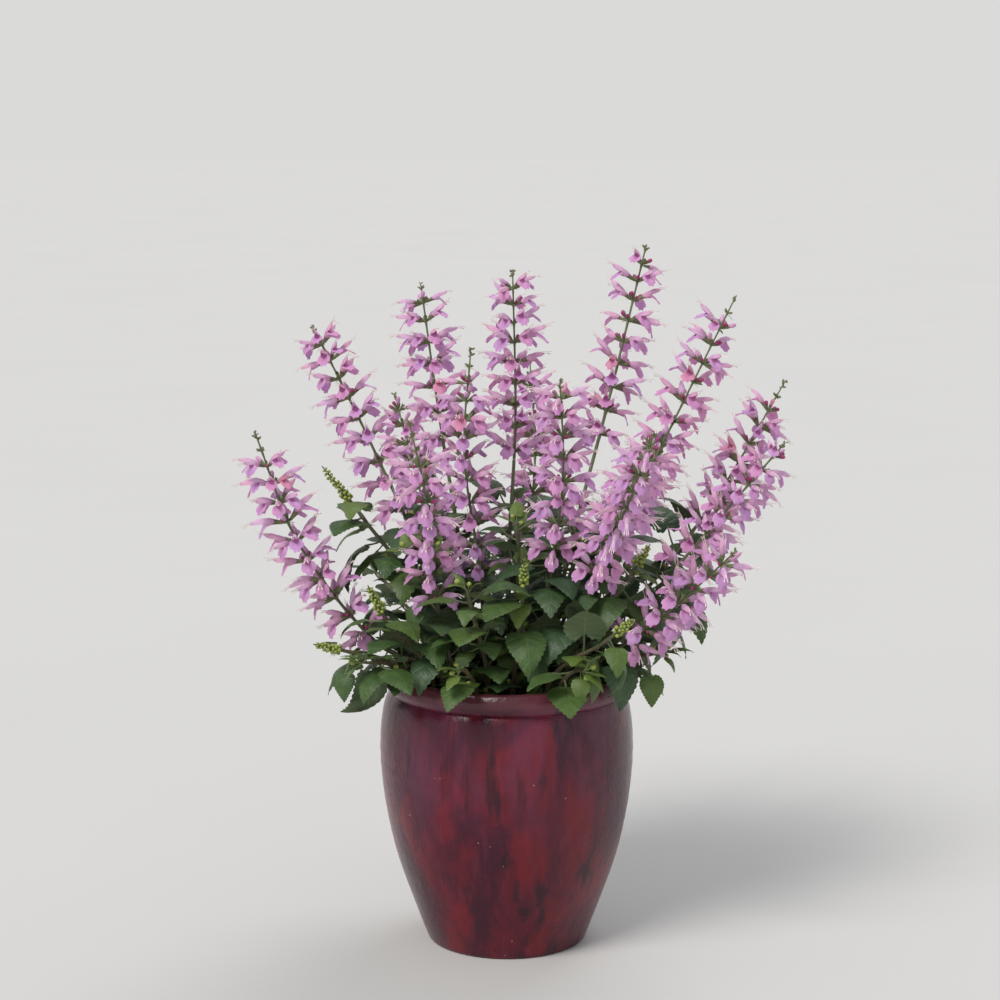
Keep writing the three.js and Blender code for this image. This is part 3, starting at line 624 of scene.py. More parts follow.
def put(name, data):
    """A new object in the scene."""
    made = bpy.data.objects.new(name, data)
    bpy.context.scene.collection.objects.link(made)
    return made


class Shape:
    """Patches gathered into one mesh."""

    def __init__(self):
        self.patches = []

    def add(self, *patches):
        self.patches.extend(patches)

    def stamp(self, patches, form, chance=0):
        """Copies of patches at a flower's place and size, with a random value of their own."""
        for patch in patches:
            tone = patch.tone.copy()
            tone[:, 2] = chance
            self.add(Patch(form.at(patch.points), patch.faces, patch.slot, patch.plan, tone))

    def build(self, name, materials, sharp=None):
        points = np.concatenate([p.points for p in self.patches]) * MM
        offsets = np.cumsum([0] + [len(p.points) for p in self.patches[:-1]])
        loops = [p.faces.ravel() + offset for p, offset in zip(self.patches, offsets)]
        sizes = [np.full(len(p.faces), p.faces.shape[1]) for p in self.patches]
        slots = [np.full(len(p.faces), p.slot) for p in self.patches]
        corners = np.concatenate(loops)
        counts = np.concatenate(sizes)
        mesh = bpy.data.meshes.new(name)
        mesh.vertices.add(len(points))
        mesh.vertices.foreach_set("co", points.ravel())
        mesh.loops.add(len(corners))
        mesh.loops.foreach_set("vertex_index", corners)
        mesh.polygons.add(len(counts))
        mesh.polygons.foreach_set("loop_start", np.append(0, np.cumsum(counts)[:-1]))
        mesh.polygons.foreach_set("material_index", np.concatenate(slots))
        mesh.update(calc_edges=True)
        for key in ("plan", "tone"):
            values = np.concatenate([getattr(p, key) for p in self.patches])
            layer = mesh.attributes.new(key, "FLOAT_VECTOR", "POINT")
            layer.data.foreach_set("vector", values.ravel())
        for material in materials:
            mesh.materials.append(material)
        mesh.polygons.foreach_set("use_smooth", np.ones(len(counts), bool))
        if sharp:
            mesh.set_sharp_from_angle(angle=math.radians(sharp))
        return put(name, mesh)


def place_piece(piece, slot, *nodes):
    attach(piece, "root")
    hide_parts(*nodes)


# Materials

class Paint:
    """A material's nodes, with short ways to add them. The base is its colour so far, and tones
    are given as red, green and blue on the screen."""

    def __init__(self, name, kind="materials"):
        self.owner = getattr(bpy.data, kind).new(name)
        self.owner.use_nodes = True
        self.tree = self.owner.node_tree
        self.tree.nodes.clear()
        self.base = None

    def add(self, kind, inputs=None, **settings):
        made = self.tree.nodes.new(kind)
        for name, value in settings.items():
            setattr(made, name, value)
        for key, value in (inputs or {}).items():
            if isinstance(value, bpy.types.NodeSocket):
                self.tree.links.new(value, made.inputs[key])
            else:
                made.inputs[key].default_value = value
        return made.outputs

    def math(self, operation, a, b=0.5, c=0.5):
        return self.add("ShaderNodeMath", {0: a, 1: b, 2: c}, operation=operation)[0]

    def blend(self, share, a, b):
        a, b = (colour(*tone) if isinstance(tone, tuple) else tone for tone in (a, b))
        return self.add("ShaderNodeMix", {0: share, 6: a, 7: b}, data_type="RGBA")[2]

    def start(self, share, a, b):
        self.base = self.blend(share, a, b)

    def lay(self, tone, share, most=None):
        """Lays a tone over the base where the share is high."""
        if most is not None:
            share = self.math("MULTIPLY", share, most)
        self.base = self.blend(share, self.base, tone)

    def tint(self, tone, value, low, high, most=None):
        """Lays a tone over the base, more as a value goes from low to high."""
        self.lay(tone, self.step(value, low, high), most)

    def step(self, value, low, high):
        inputs = {"Value": value, "From Min": low, "From Max": high}
        return self.add("ShaderNodeMapRange", inputs, interpolation_type="SMOOTHSTEP")[0]

    def split(self, vector):
        return self.add("ShaderNodeSeparateXYZ", {0: vector})

    def marks(self):
        """The three parts of the mesh's own tone, and its plan."""
        tone, plan = (self.add("ShaderNodeAttribute", attribute_name=name)["Vector"]
                      for name in ("tone", "plan"))
        return (*self.split(tone), plan)

    def place(self, kind="Object"):
        return self.add("ShaderNodeTexCoord")[kind]

    def stretch(self, vector, scale):
        return self.add("ShaderNodeMapping", {"Vector": vector, "Scale": scale})[0]

    def noise(self, vector, scale, detail=3.0, rough=0.55, distortion=0.0):
        inputs = {"Vector": vector, "Scale": scale, "Detail": detail, "Roughness": rough,
                  "Distortion": distortion}
        return self.add("ShaderNodeTexNoise", inputs)["Fac"]

    def cells(self, vector, scale, feature="F1"):
        inputs = {"Vector": vector, "Scale": scale}
        return self.add("ShaderNodeTexVoronoi", inputs, feature=feature)["Distance"]

    def finish(self, rough, relief=None, glow=0, glow_tone=None, specular=0.5, coat=0.0):
        """The material, from its base. The relief is a height, its strength and its depth in
        metres, and the glow is the share of light that passes through."""
        inputs = {"Base Color": self.base, "Roughness": rough, "Specular IOR Level": specular,
                  "Coat Weight": coat, "Coat Roughness": COAT_ROUGHNESS}
        if relief:
            height, strength, depth = relief
            bump = {"Height": height, "Strength": strength, "Distance": depth}
            inputs["Normal"] = self.add("ShaderNodeBump", bump)[0]
        shader = self.add("ShaderNodeBsdfPrincipled", inputs)[0]
        if glow:
            light = {"Color": glow_tone or self.base, "Normal": inputs["Normal"]}
            passed = self.add("ShaderNodeBsdfTranslucent", light)[0]
            shader = self.add("ShaderNodeMixShader", {0: glow, 1: shader, 2: passed})[0]
        self.add("ShaderNodeOutputMaterial", {"Surface": shader})
        return self.owner


def petal_material():
    """Pink-lavender petals, paler on the hood, deeper on the lip, and finely veined. The tone's
    second part is 1 on the lip, 2 in the throat and 3 on the deep magenta of short buds."""
    paint = Paint("petals")
    along, part, chance, plan = paint.marks()
    hood = paint.blend(chance, (235, 198, 229), (238, 188, 216))
    lip = paint.blend(chance, (212, 164, 218), (226, 160, 206))
    paint.start(paint.step(part, 0.2, 0.9), hood, lip)
    paint.tint((204, 138, 190), part, 1.4, 1.9)
    paint.tint((184, 72, 130), part, 2.4, 2.9)
    paint.tint((206, 144, 190), along, 0.4, 0.0, 0.45)
    paint.tint((186, 118, 190), paint.noise(plan, 0.16, 2.0), 0.5, 0.75, 0.35)
    veins = paint.noise(paint.stretch(plan, (0.1, 1.4, 1.4)), 1.0, 2.0, 0.6)
    paint.tint((172, 98, 168), veins, 0.52, 0.72, 0.28)
    paint.tint((232, 146, 160), chance, 0.985, 0.99, 0.45)
    height = paint.math("ADD", paint.noise(plan, 2.2, 2.0), veins)
    return paint.finish(0.52, (height, 0.25, 0.0003), 0.25, specular=0.35)


def calyx_material():
    """Ribbed green calyces and stalks, flushed with purple towards their teeth."""
    paint = Paint("calyx")
    along, flush, chance, plan = paint.marks()
    paint.start(chance, (128, 142, 96), (148, 158, 116))
    paint.lay((74, 90, 52), paint.noise(plan, 0.5, 2.0), 0.4)
    paint.tint((112, 62, 78), along, 0.35, 1.0, flush)
    ribs = paint.noise(paint.stretch(plan, (0.08, 1.6, 1.6)), 1.0, 1.0)
    paint.tint((150, 160, 104), ribs, 0.55, 0.7, 0.35)
    return paint.finish(0.6, (ribs, 0.4, 0.0004), 0.12)


def stamen_material():
    paint = Paint("stamens")
    along, _, chance, plan = paint.marks()
    paint.start(chance, (244, 226, 232), (236, 214, 214))
    paint.tint((248, 240, 222), along, 0.75, 1.0)
    speckle = paint.noise(plan, 1.5, 2.0)
    paint.lay((214, 160, 190), speckle, 0.2)
    return paint.finish(0.45, (speckle, 0.2, 0.0002))


def leaf_material(name, deep, fresh, light):
    """Veined leaves, from the deep colour of old ones to the fresh one, lighter underneath. The
    tone holds the count of veins along the edge, the share out from the rib, and the age."""
    paint = Paint(name)
    vein, reach, age, plan = paint.marks()
    under = paint.step(paint.split(plan)[2], 0.4, 0.6)
    paint.start(age, deep, fresh)
    paint.tint(light, paint.noise(plan, 0.07, 3.0), 0.35, 0.75, 0.45)
    mottle = paint.noise(plan, 0.35, 3.0, 0.6)
    paint.tint((30, 48, 28), mottle, 0.45, 0.7, 0.25)
    wobble = paint.math("MULTIPLY", paint.math("SUBTRACT", paint.noise(plan, 0.2, 2.0), 0.5), 0.2)
    phase = paint.math("FRACT", paint.math("ADD", vein, wobble))
    distance = paint.math("ABSOLUTE", paint.math("SUBTRACT", phase, 0.5))
    side_veins = paint.math("MULTIPLY", paint.step(distance, 0.09, 0.02), 0.7)
    main = paint.math("MAXIMUM", side_veins, paint.step(reach, 0.055, 0.02))
    net = paint.step(paint.cells(plan, 0.34, "DISTANCE_TO_EDGE"), 0.09, 0.0)
    lines = paint.math("MAXIMUM", main, paint.math("MULTIPLY", net, 0.35))
    paint.lay((104, 122, 88), under)
    paint.lay(paint.blend(under, light, (150, 164, 110)), lines, 0.42)
    height = paint.math("SUBTRACT", paint.math("MULTIPLY", mottle, 0.5), lines)
    shine = paint.math("MULTIPLY_ADD", under, 0.25, 0.42)
    glow_tone = paint.blend(0.5, paint.base, (120, 150, 40))
    return paint.finish(shine, (height, 0.55, 0.0006), 0.18, glow_tone, 0.45)


def stem_material():
    """Squared stems, green above and browner towards the soil, with fine lengthwise lines."""
    paint = Paint("green_stem")
    height, _, _, plan = paint.marks()
    paint.start(paint.step(height, 0.75, 0.05), (102, 114, 80), (92, 74, 58))
    lines = paint.noise(paint.stretch(plan, (2.0, 2.0, 0.05)), 0.8, 2.0)
    paint.tint((118, 130, 84), lines, 0.4, 0.7, 0.5)
    blotch = paint.noise(paint.stretch(plan, (0.5, 0.5, 0.12)), 0.5, 2.0)
    paint.tint((84, 52, 54), blotch, 0.52, 0.7, 0.55)
    return paint.finish(0.55, (lines, 0.4, 0.0005))


def bud_material():
    paint = Paint("green_buds")
    along, _, _, plan = paint.marks()
    paint.start(along, (92, 116, 44), (176, 190, 96))
    paint.lay((110, 130, 60), paint.noise(plan, 0.4, 2.0), 0.5)
    return paint.finish(0.55, (paint.noise(plan, 1.2, 2.0), 0.4, 0.0004), 0.12)


def glaze_material():
    """Oxblood glaze: crimson and plum clouds, a mauve bloom above that is partly painted reflection,
    dark runs, and fine pits.
    """
    paint = Paint("oxblood_glaze")
    place = paint.place()
    height = paint.split(place)[2]

    def drawn_out(squash, *settings):
        return paint.noise(paint.stretch(place, (1, 1, squash)), *settings)

    clouds = drawn_out(0.6, 12, 4.0, 0.62, 0.6)
    paint.start(paint.step(clouds, 0.4, 0.6), (60, 10, 34), (110, 16, 32))
    paint.tint((72, 12, 38), drawn_out(0.3, 34, 4.0, 0.62, 0.5), 0.42, 0.62, 0.6)
    # Mauve clouds over the upper belly: partly the glaze's own bloom, partly painted reflection of the
    # light that falls on it from above.
    bloom_and_reflection_clouds = drawn_out(0.35, 19, 3.0, 0.6, 0.3)
    bloom_and_painted_reflection = paint.math("MULTIPLY", paint.step(bloom_and_reflection_clouds, 0.42, 0.66), paint.step(height, 0.12, 0.23))
    paint.lay((108, 50, 78), bloom_and_painted_reflection, 0.5)
    where = paint.noise(place, 9, 2.0, 0.5, 0.4)
    runs = paint.math("MULTIPLY_ADD", where, 0.5, drawn_out(0.24, 52, 3.0, 0.55, 0.3))
    paint.tint((30, 8, 26), paint.math("SUBTRACT", runs, 0.86), -0.04, 0.12, 0.75)
    paint.tint((120, 44, 60), drawn_out(0.1, 120, 3.0, 0.6), 0.5, 0.75, 0.3)
    paint.tint((92, 50, 54), height, 0.278, 0.292, 0.7)
    specks = paint.step(paint.cells(place, 95), 0.085, 0.05)
    paint.tint((176, 142, 128), paint.noise(place, 40, 1.0), 0.58, 0.64, specks)
    peel = paint.noise(place, 330, 2.0, 0.5)
    swell = paint.math("MULTIPLY_ADD", paint.noise(place, 70, 2.0, 0.5), 2.2, peel)
    shine = paint.math("MULTIPLY_ADD", bloom_and_reflection_clouds, 0.16, 0.2)
    return paint.finish(shine, (swell, 0.28, 0.0012), specular=0.35, coat=0.12)


def clay_material():
    paint = Paint("bare_clay")
    place = paint.place()
    paint.start(paint.noise(place, 26, 4.0, 0.6), (104, 60, 52), (132, 84, 70))
    grain = paint.noise(place, 400, 3.0, 0.6)
    paint.tint((74, 44, 40), grain, 0.5, 0.7, 0.4)
    return paint.finish(0.8, (grain, 0.5, 0.0008))


def soil_material():
    paint = Paint("potting_soil")
    place = paint.place()
    clouds = paint.noise(place, 60, 4.0, 0.7)
    grains = paint.cells(place, 420)
    paint.start(paint.step(clouds, 0.3, 0.7), (30, 23, 18), (66, 50, 38))
    paint.tint((96, 78, 60), grains, 0.3, 0.1, 0.5)
    return paint.finish(0.95, (paint.math("ADD", clouds, grains), 0.8, 0.002))


def floor_material():
    paint = Paint("pale_floor")
    paint.start(paint.noise(paint.place(), 1.5, 2.0), (202, 201, 199), (206, 205, 203))
    return paint.finish(0.9, specular=0.0)


# Pot and soil

def lathe(profile, columns, shift_at, wobble, slots):
    """Turns (radius, height) pairs, from the axis and back to it, into patches. A pair of slots
    says which material each stretch takes."""
    angles = circle(columns)
    rings = []
    for radius, height in profile:
        wide = radius + wobble(angles, radius, height)
        x = wide * np.cos(angles) + shift_at(height)
        rings.append(np.column_stack([x, wide * np.sin(angles), np.full(columns, height)]))
    patches = []
    first = 0
    for end, slot in slots:
        patches.append(grid_patch(rings[first:end + 1], slot))
        first = end
    for row in (0, -1):
        height = profile[row][1]
        middle = (shift_at(height), 0, height)
        patches.append(fan_patch(rings[row], middle, slots[-1][1], flip=row == 0))
    return patches


def smooth_profile(corners, spacing):
    """Pairs along the smooth curve through the given ones."""
    curve = Line([(radius, 0, height) for radius, height in corners])
    count = max(2, int(curve.length / spacing))
    places = [curve.at(curve.length * i / count).place for i in range(count + 1)]
    return [(place[0], place[2]) for place in places]


def weld(piece, distance=1e-5):
    """Joins points that lie on each other, so that the patches of a piece are one surface."""
    work = bmesh.new()
    work.from_mesh(piece.data)
    bmesh.ops.remove_doubles(work, verts=work.verts, dist=distance)
    work.to_mesh(piece.data)
    work.free()


def drill(piece, spots, radius, depth):
    """Cuts upright round holes through the bottom of a piece."""
    for x, y in spots:
        bpy.ops.mesh.primitive_cylinder_add(vertices=32, radius=radius * MM, depth=depth * MM,
                                            location=(x * MM, y * MM, 0))
        cutter = bpy.context.object
        cut = piece.modifiers.new("hole", "BOOLEAN")
        cut.operation = "DIFFERENCE"
        cut.object = cutter
        bpy.context.view_layer.objects.active = piece
        bpy.ops.object.modifier_apply(modifier=cut.name)
        bpy.data.objects.remove(cutter)


def make_pot():
    def shift_at(height):
        return RIM_SHIFT * smoothstep(height, SHIFT_FROM, SHIFT_TO)

    def wobble(angles, radius, height):
        # Hand-thrown: faint ridges, and a rim that isn't quite round.
        high = smoothstep(height, 20, 280)
        round_off = 0.5 * np.sin(2 * angles + 0.7) + 0.35 * np.sin(3 * angles + 2.1 + height * 0.01)
        ridges = 0.18 * math.sin(height * 0.42) + 0.12 * math.sin(height * 0.93 + 1)
        return (round_off + ridges) * high * (radius > 60)

    foot = [(FOOT_RADIUS - 2, 0), (FOOT_RADIUS + 0.2, 0.7), (FOOT_RADIUS + 1.3, 1.7)]
    body = smooth_profile(OUTSIDE[1:9], 5)
    rim = smooth_profile(OUTSIDE[8:] + INSIDE[:2], 2)
    wall = smooth_profile(INSIDE[1:], 9)
    profile = foot + body[:-1] + rim[:-1] + wall
    glazed = len(foot) + len(body) - 1 + len(rim) - 1
    glazed += sum(height > GLAZED_DOWN_TO for _, height in wall)
    shape = Shape()
    shape.add(*lathe(profile, POT_COLUMNS, shift_at, wobble, [(glazed, 0), (len(profile) - 1, 1)]))
    pot = shape.build("glazed_pot", [glaze_material(), clay_material()])
    weld(pot)
    ring = [math.radians(30 + 120 * k) for k in range(3)]
    drill(pot, [(DRAIN_RING * math.cos(a), DRAIN_RING * math.sin(a)) for a in ring], DRAIN_RADIUS, 60)
    pot.data.set_sharp_from_angle(angle=math.radians(50))
    place_piece(pot, "pot", "pot")


def crumb(draw):
    """A small rough lump, as eight faces round six points."""
    ends = np.array([(1, 0, 0), (0, 1, 0), (-1, 0, 0), (0, -1, 0), (0, 0, 1), (0, 0, -1)], float)
    ends *= [[mix(0.6, 1.2, draw())] for _ in ends]
    faces = []
    for k in range(4):
        faces.append((k, (k + 1) % 4, 4))
        faces.append(((k + 1) % 4, k, 5))
    return ends, faces


def make_soil():
    def relief(x, y):
        fine = noise.noise(Vector((x * 0.21, y * 0.21, 3)))
        return 1.8 * noise.noise(Vector((x * 0.06, y * 0.06, 0))) + 0.9 * fine

    wall = [(radius - GAP - 0.1, max(height, FLOOR_THICKNESS + GAP))
            for radius, height in reversed(INSIDE) if height <= SOIL_EDGE]
    edge = [wall[-1]]
    top = smooth_profile(edge + SOIL_TOP[:-1] + [(2, SOIL_TOP[-1][1])], 2.4)
    profile = wall[:-1] + top
    shape = Shape()
    patches = lathe(profile, SOIL_COLUMNS, lambda height: 0, lambda *_: 0, [(len(profile) - 1, 0)])
    for patch in patches:
        for point in patch.points:
            if point[2] > SOIL_EDGE - 1:
                hold = smoothstep(120 - math.hypot(point[0], point[1]), 0, 3)
                point[2] += relief(point[0], point[1]) * hold
    shape.add(*patches)
    draw = draws(CRUMB_SEED)
    for _ in range(CRUMBS):
        angle = draw() * 2 * math.pi
        reach = CRUMB_REACH * math.sqrt(draw())
        x, y = reach * math.cos(angle), reach * math.sin(angle)
        radii, heights = zip(*reversed(profile[len(wall) - 1:]))
        height = np.interp(reach, radii, heights) + relief(x, y)
        points, faces = crumb(draw)
        size = mix(0.9, 3.2, draw() ** 2)
        shape.add(Patch(points * size + (x, y, height + 0.2 * size), faces))
    soil = shape.build("potting_soil", [soil_material()])
    weld(soil)
    place_piece(soil, "soil", "soil")


# Stems and leaves

STEM, LEAF, BUD = 0, 1, 2


def turned_ways(angles, side, back):
    return np.outer(np.cos(angles), side) + np.outer(np.sin(angles), back)


def knots(lengths, levels, height, width):
    """How much a stem swells at the given lengths, near the levels of its leaves or flowers."""
    apart = np.abs(np.subtract.outer(lengths, np.array(levels) + BAND_HEIGHT / 2)).min(1)
    return height * np.exp(-(apart / width) ** 2)


def stem_patch(line, lengths, radii, turn, slot=STEM, columns=12):
    """A rounded-square stem through the given lengths along its line."""
    angles = circle(columns)
    corner = 0.88 + 0.08 * np.cos(4 * angles + math.pi)
    rings = []
    for length, radius in zip(lengths, radii):
        spot = line.at(length)
        ways = turned_ways(angles + turn, spot.side, spot.back)
        rings.append(spot.place + ways * (radius * corner)[:, None])
    tone = np.zeros_like(rings)
    tone[..., 0] = (np.array(rings)[..., 2] - SOIL_EDGE) / 300
    return grid_patch(rings, slot, tone=tone)


def tube_patch(places, radii, columns, slot, tone):
    """A round tube through the given places, closed by its shrinking ends."""
    places = np.array(places, float)
    rings = []
    for k, (place, radius) in enumerate(zip(places, radii)):
        along = unit(places[min(k + 1, len(places) - 1)] - places[max(k - 1, 0)])
        side = unit(np.cross(along, (0.31, 0.17, 0.93)))
        rings.append(place + turned_ways(circle(columns), side, np.cross(along, side)) * radius)
    return grid_patch(rings, slot, places[0], tone)


# Half a leaf's outline from the stalk round the lobe to the tip, as shares of the blade's length
# and of its half width, and how far along the rib the vein that ends there starts
LEAF_OUTLINE = [(0.0, 0.03), (-0.07, 0.26), (-0.09, 0.52), (-0.03, 0.8), (0.1, 0.96), (0.24, 1.0),
                (0.42, 0.9), (0.6, 0.68), (0.78, 0.4), (0.91, 0.17), (1.0, 0.0)]
VEIN_STARTS = [(0, 0), (0.3, 0.04), (0.5, 0.14), (0.68, 0.38), (0.84, 0.68), (1, 1)]
TEETH = 13
TOOTH_DEPTH = 0.03
SIDE_VEINS = 7
BLADE_STEPS = (0, 0.15, 0.48, 0.8, 1)
SMALL_STEPS = (0, 0.4, 1)
BLADE_HALF_THICKNESS = 0.22
BLADE_QUILT = 0.01
BLADE_CUP = 0.16
LOBE_SINK = 0.016


def half_outline(teeth, spots_each):
    """Edge points and vein starts of half a blade, some to each tooth, in shares of its length."""
    curve = Line([(x, BLADE_HALF_WIDTH * y, 0) for x, y in LEAF_OUTLINE])
    count = teeth * spots_each
    shares = np.arange(count + 1) / count
    spots = [curve.at(share * curve.length) for share in shares]
    edge = np.array([spot.place[:2] for spot in spots])
    outward = np.array([(-spot.along[1], spot.along[0]) for spot in spots])
    bulge = np.abs(np.sin(shares * teeth * math.pi)) ** 0.8
    taper = smoothstep(shares, 0, 0.12) * smoothstep(1 - shares, 0, 0.08)
    edge = edge + outward * (bulge * taper * TOOTH_DEPTH)[:, None]
    edge[-1] = (1, 0)
    starts = np.interp(shares, *zip(*VEIN_STARTS))
    return edge, starts, shares


OUTLINE = half_outline(TEETH, 3)
SMALL_OUTLINE = half_outline(6, 2)


def leaf_patches(leaf, draw, age, stalk_radius=1.1, small=False):
    """A leaf's stalk, and a thin blade with teeth, sunk veins and a waved edge."""
    edge, starts, shares = SMALL_OUTLINE if small else OUTLINE
    steps = np.array(SMALL_STEPS if small else BLADE_STEPS)
    wave = mix(0.006, 0.022, draw()) * leaf.length
    waves = mix(1.5, 2.6, draw())
    phase = draw() * 2 * math.pi
    twist = mix(-0.22, 0.22, draw())
    shares = shares[:, None]
    x = starts[:, None] * (1 - steps) + edge[:, :1] * steps
    y = edge[:, 1:] * steps * leaf.length
    rib = leaf.rib(x)
    normal = leaf.normal(np.maximum(x, 0))
    between = np.sin(shares * SIDE_VEINS * math.pi) ** 2 * (4 * steps * (1 - steps)) ** 0.7
    quilt = BLADE_QUILT * between - LOBE_SINK * (steps < 0.05) * (1 - shares)
    thick = normal * (BLADE_HALF_THICKNESS * (1 - 0.8 * steps))[:, None]
    tone = np.stack(np.broadcast_arrays(shares * SIDE_VEINS + 0.5, steps, age), -1)
    patches = []
    for hand in (-1, 1):
        ripple = wave * np.sin(shares * waves * 2 * math.pi + phase + hand) * steps ** 2
        sink = BLADE_CUP * y - quilt * leaf.length - ripple - hand * twist * y * np.maximum(x, 0)
        grid = rib + leaf.across * (hand * y)[..., None] - normal * sink[..., None]
        upper, lower = grid + thick, grid - thick
        for under, face in enumerate((upper, lower)):
            plan = np.stack([x * leaf.length + age * 97, hand * y, np.full_like(x, under)], -1)
            patches.append(grid_patch(face, LEAF, plan, tone, False, flip=(hand > 0) != under))
        rim = np.stack([upper[:, -1], lower[:, -1]], 1)
        plan = np.stack([x[:, -1] * leaf.length, hand * y[:, -1], 0 * x[:, -1]], -1).repeat(2, 0)
        patches.append(grid_patch(rim, LEAF, plan, tone[:, -1].repeat(2, 0), False, flip=hand > 0))
    sag = leaf.lift * leaf.stalk * 0.05
    places = [leaf.root, mix(leaf.root, leaf.start, 0.3) - sag, mix(leaf.root, leaf.start, 0.7) - sag,
              leaf.start, leaf.rib(0.03)]
    radii = np.array([1.35, 1.0, 0.9, 0.85, 0.35]) * stalk_radius
    patches.append(tube_patch(places, radii, 6, STEM, (0.8, 0.5, age)))
    return patches


def add_tuft(shape, spot, angle, draw):
    """A pair of small new leaves with a round bud between them, as stands in a leaf's axil."""
    length = mix(13, 24, draw())
    for swing in (-0.7, 0.7):
        small = Leaf(spot, angle + swing, mix(30, 60, draw()), mix(7, 12, draw()), length,
                     mix(20, 70, draw()))
        shape.add(*leaf_patches(small, draw, mix(0.6, 0.95, draw()), 0.6, small=True))
    shape.stamp([ROUND_BUD], Flower(spot, angle, 45, mix(0.9, 1.3, draw())))


def turned_patch(rows, columns, slot, ribs=0.0, teeth=None, flush=0.0):
    """A surface turned about the out axis, from (distance out, radius) rows. Its tone is the share
    of the way out, and the flush."""
    angles = circle(columns)
    points, tones = [], []
    first, last = rows[0][0], rows[-1][0]
    for out, radius in rows:
        wide = radius * (1 + ribs * np.cos(angles * columns / 2))
        reach = np.full(columns, float(out))
        if teeth and out == last:
            reach += teeth(angles)
        points.append(np.column_stack([reach, wide * np.cos(angles), wide * np.sin(angles)]))
        share = np.clip((reach - first) / (last - first), 0, 1)
        tones.append(np.column_stack([share, np.full(columns, flush), np.zeros(columns)]))
    return grid_patch(points, slot, tone=tones)


# A round green bud on a short stalk, and the same bud close to its stem
BUD_ROWS = [(2, 0.5), (6.5, 0.6), (7.2, 1.6), (8.4, 2.5), (9.8, 2.6), (11, 1.9), (11.8, 0.9),
            (12.1, 0.05)]
ROUND_BUD = turned_patch(BUD_ROWS, 8, BUD)
HEAD_BUD = Patch(ROUND_BUD.points - (3.4, 0, 0), ROUND_BUD.faces, BUD, ROUND_BUD.plan, ROUND_BUD.tone)

# Flowers. Every form lies along three axes: out from the stem, across, and up.

PETALS, GREEN, PALE, STALK = 0, 1, 2, 3
PLANNED_BUD_SIZE = 0.85
TIP_BUDS = 11
SHORTEST_HEAD = 12
RING = 20
MOUTH = 20.0
MOUTH_WIDTH = 3.2
MOUTH_HEIGHT = 3.9
MOUTH_CENTRE = -0.4
HOOD_LENGTH = 11.5
LIP_REACH = np.array([0.5, 0.78, 0.86, 0.74, 1.0, 0.84, 1.0, 0.74, 0.86, 0.78, 0.5])
LIP_LENGTH = 9.2
LIP_FAN = math.radians(50)
TUBE_START = 8.5
COROLLA_LENGTH = 22
# The throat's pale back wall, seen between hood and lip: its ring and its middle
THROAT = (19.3, 3.1, 3.78, -0.35)
THROAT_BACK = (18.6, 0, -0.6)


def ring_at(out, wide, high, centre):
    angles = circle(RING)
    return np.column_stack([np.full(RING, out), wide * np.cos(angles), centre + high * np.sin(angles)])


def out_tone(points):
    """A tone whose first part is the share of the corolla's length."""
    tone = np.zeros_like(points)
    tone[..., 0] = (points[..., 0] - TUBE_START) / COROLLA_LENGTH
    return tone


def corolla_patches(hood_lift, lip_forward, ruffle):
    """A corolla: a widening tube, a narrow hood over it, and a hanging, notched and lobed lip."""
    rows = [(TUBE_START, 1.1, 1.3, 0), (12, 2.0, 2.4, 0.1), (16, 2.9, 3.5, -0.1),
            (MOUTH, MOUTH_WIDTH, MOUTH_HEIGHT, MOUTH_CENTRE)]
    tube = np.array([ring_at(*row) for row in rows])
    tube_tone = out_tone(tube)
    tube_tone[..., 1] = smoothstep(-tube[..., 2], 0, 4) * 0.6 * smoothstep(tube[..., 0], 13, MOUTH)

    mouth = tube[-1]
    angles = circle(RING)[:11]
    sine, cosine = np.sin(angles), np.cos(angles)
    hood = [mouth[:11]]
    for t in (0.26, 0.5, 0.74, 0.92, 1):
        half_width = MOUTH_WIDTH * (1 - t) ** 0.65 * (1 - 0.3 * math.sin(t * math.pi)) + 0.35
        top = MOUTH_CENTRE + MOUTH_HEIGHT + 1.2 * math.sin(t * 2.6) - 2.6 * t * t + hood_lift * t * t
        drop = mix(MOUTH_HEIGHT, 1.8, t ** 1.8) + 1.4 * math.sin(t * math.pi)
        out = MOUTH + HOOD_LENGTH * t * (0.7 + 0.3 * sine)
        hood.append(np.column_stack([out, half_width * cosine, top - (1 - sine) * drop]))
    hood = np.array(hood)

    base = mouth[np.arange(10, 21) % RING]
    spread = np.linspace(-1, 1, len(base))
    reach = LIP_LENGTH * LIP_REACH
    lip, lip_tone = [], []
    for t in (0, 0.18, 0.4, 0.64, 0.85, 1):
        wave = ruffle * np.sin(spread * 9 + 1.2) * t * t
        out = base[:, 0] + lip_forward * math.sin(t * QUARTER) - 4.2 * spread ** 2 * t ** 0.8 + wave
        across = base[:, 1] * (1 - 0.35 * t) + reach * t * np.sin(spread * LIP_FAN)
        up = base[:, 2] - reach * t ** 1.15 * np.cos(spread * LIP_FAN) * mix(1, 0.75, spread ** 2)
        lip.append(np.column_stack([out, across, up]))
        lip_tone.append([(0.5 + t / 2, mix(0.6, 1, min(1, t * 3)), 0)] * len(base))

    return [grid_patch(tube, PETALS, tone=tube_tone),
            grid_patch(hood, PETALS, tone=out_tone(hood), closed=False),
            grid_patch(lip, PETALS, tone=lip_tone, closed=False),
            fan_patch(ring_at(*THROAT), THROAT_BACK, PETALS, (0.4, 2, 0))]


def calyx_teeth(angles):
    """One broad tooth above and two sharp ones below."""
    teeth = np.zeros_like(angles)
    for at, width, height in ((QUARTER, 0.9, 2.6), (-0.9, 0.6, 3.0), (math.pi + 0.9, 0.6, 3.0)):
        apart = np.abs((angles - at + math.pi) % (2 * math.pi) - math.pi)
        teeth = np.maximum(teeth, height * np.clip(1 - apart / width, 0, 1))
    return teeth


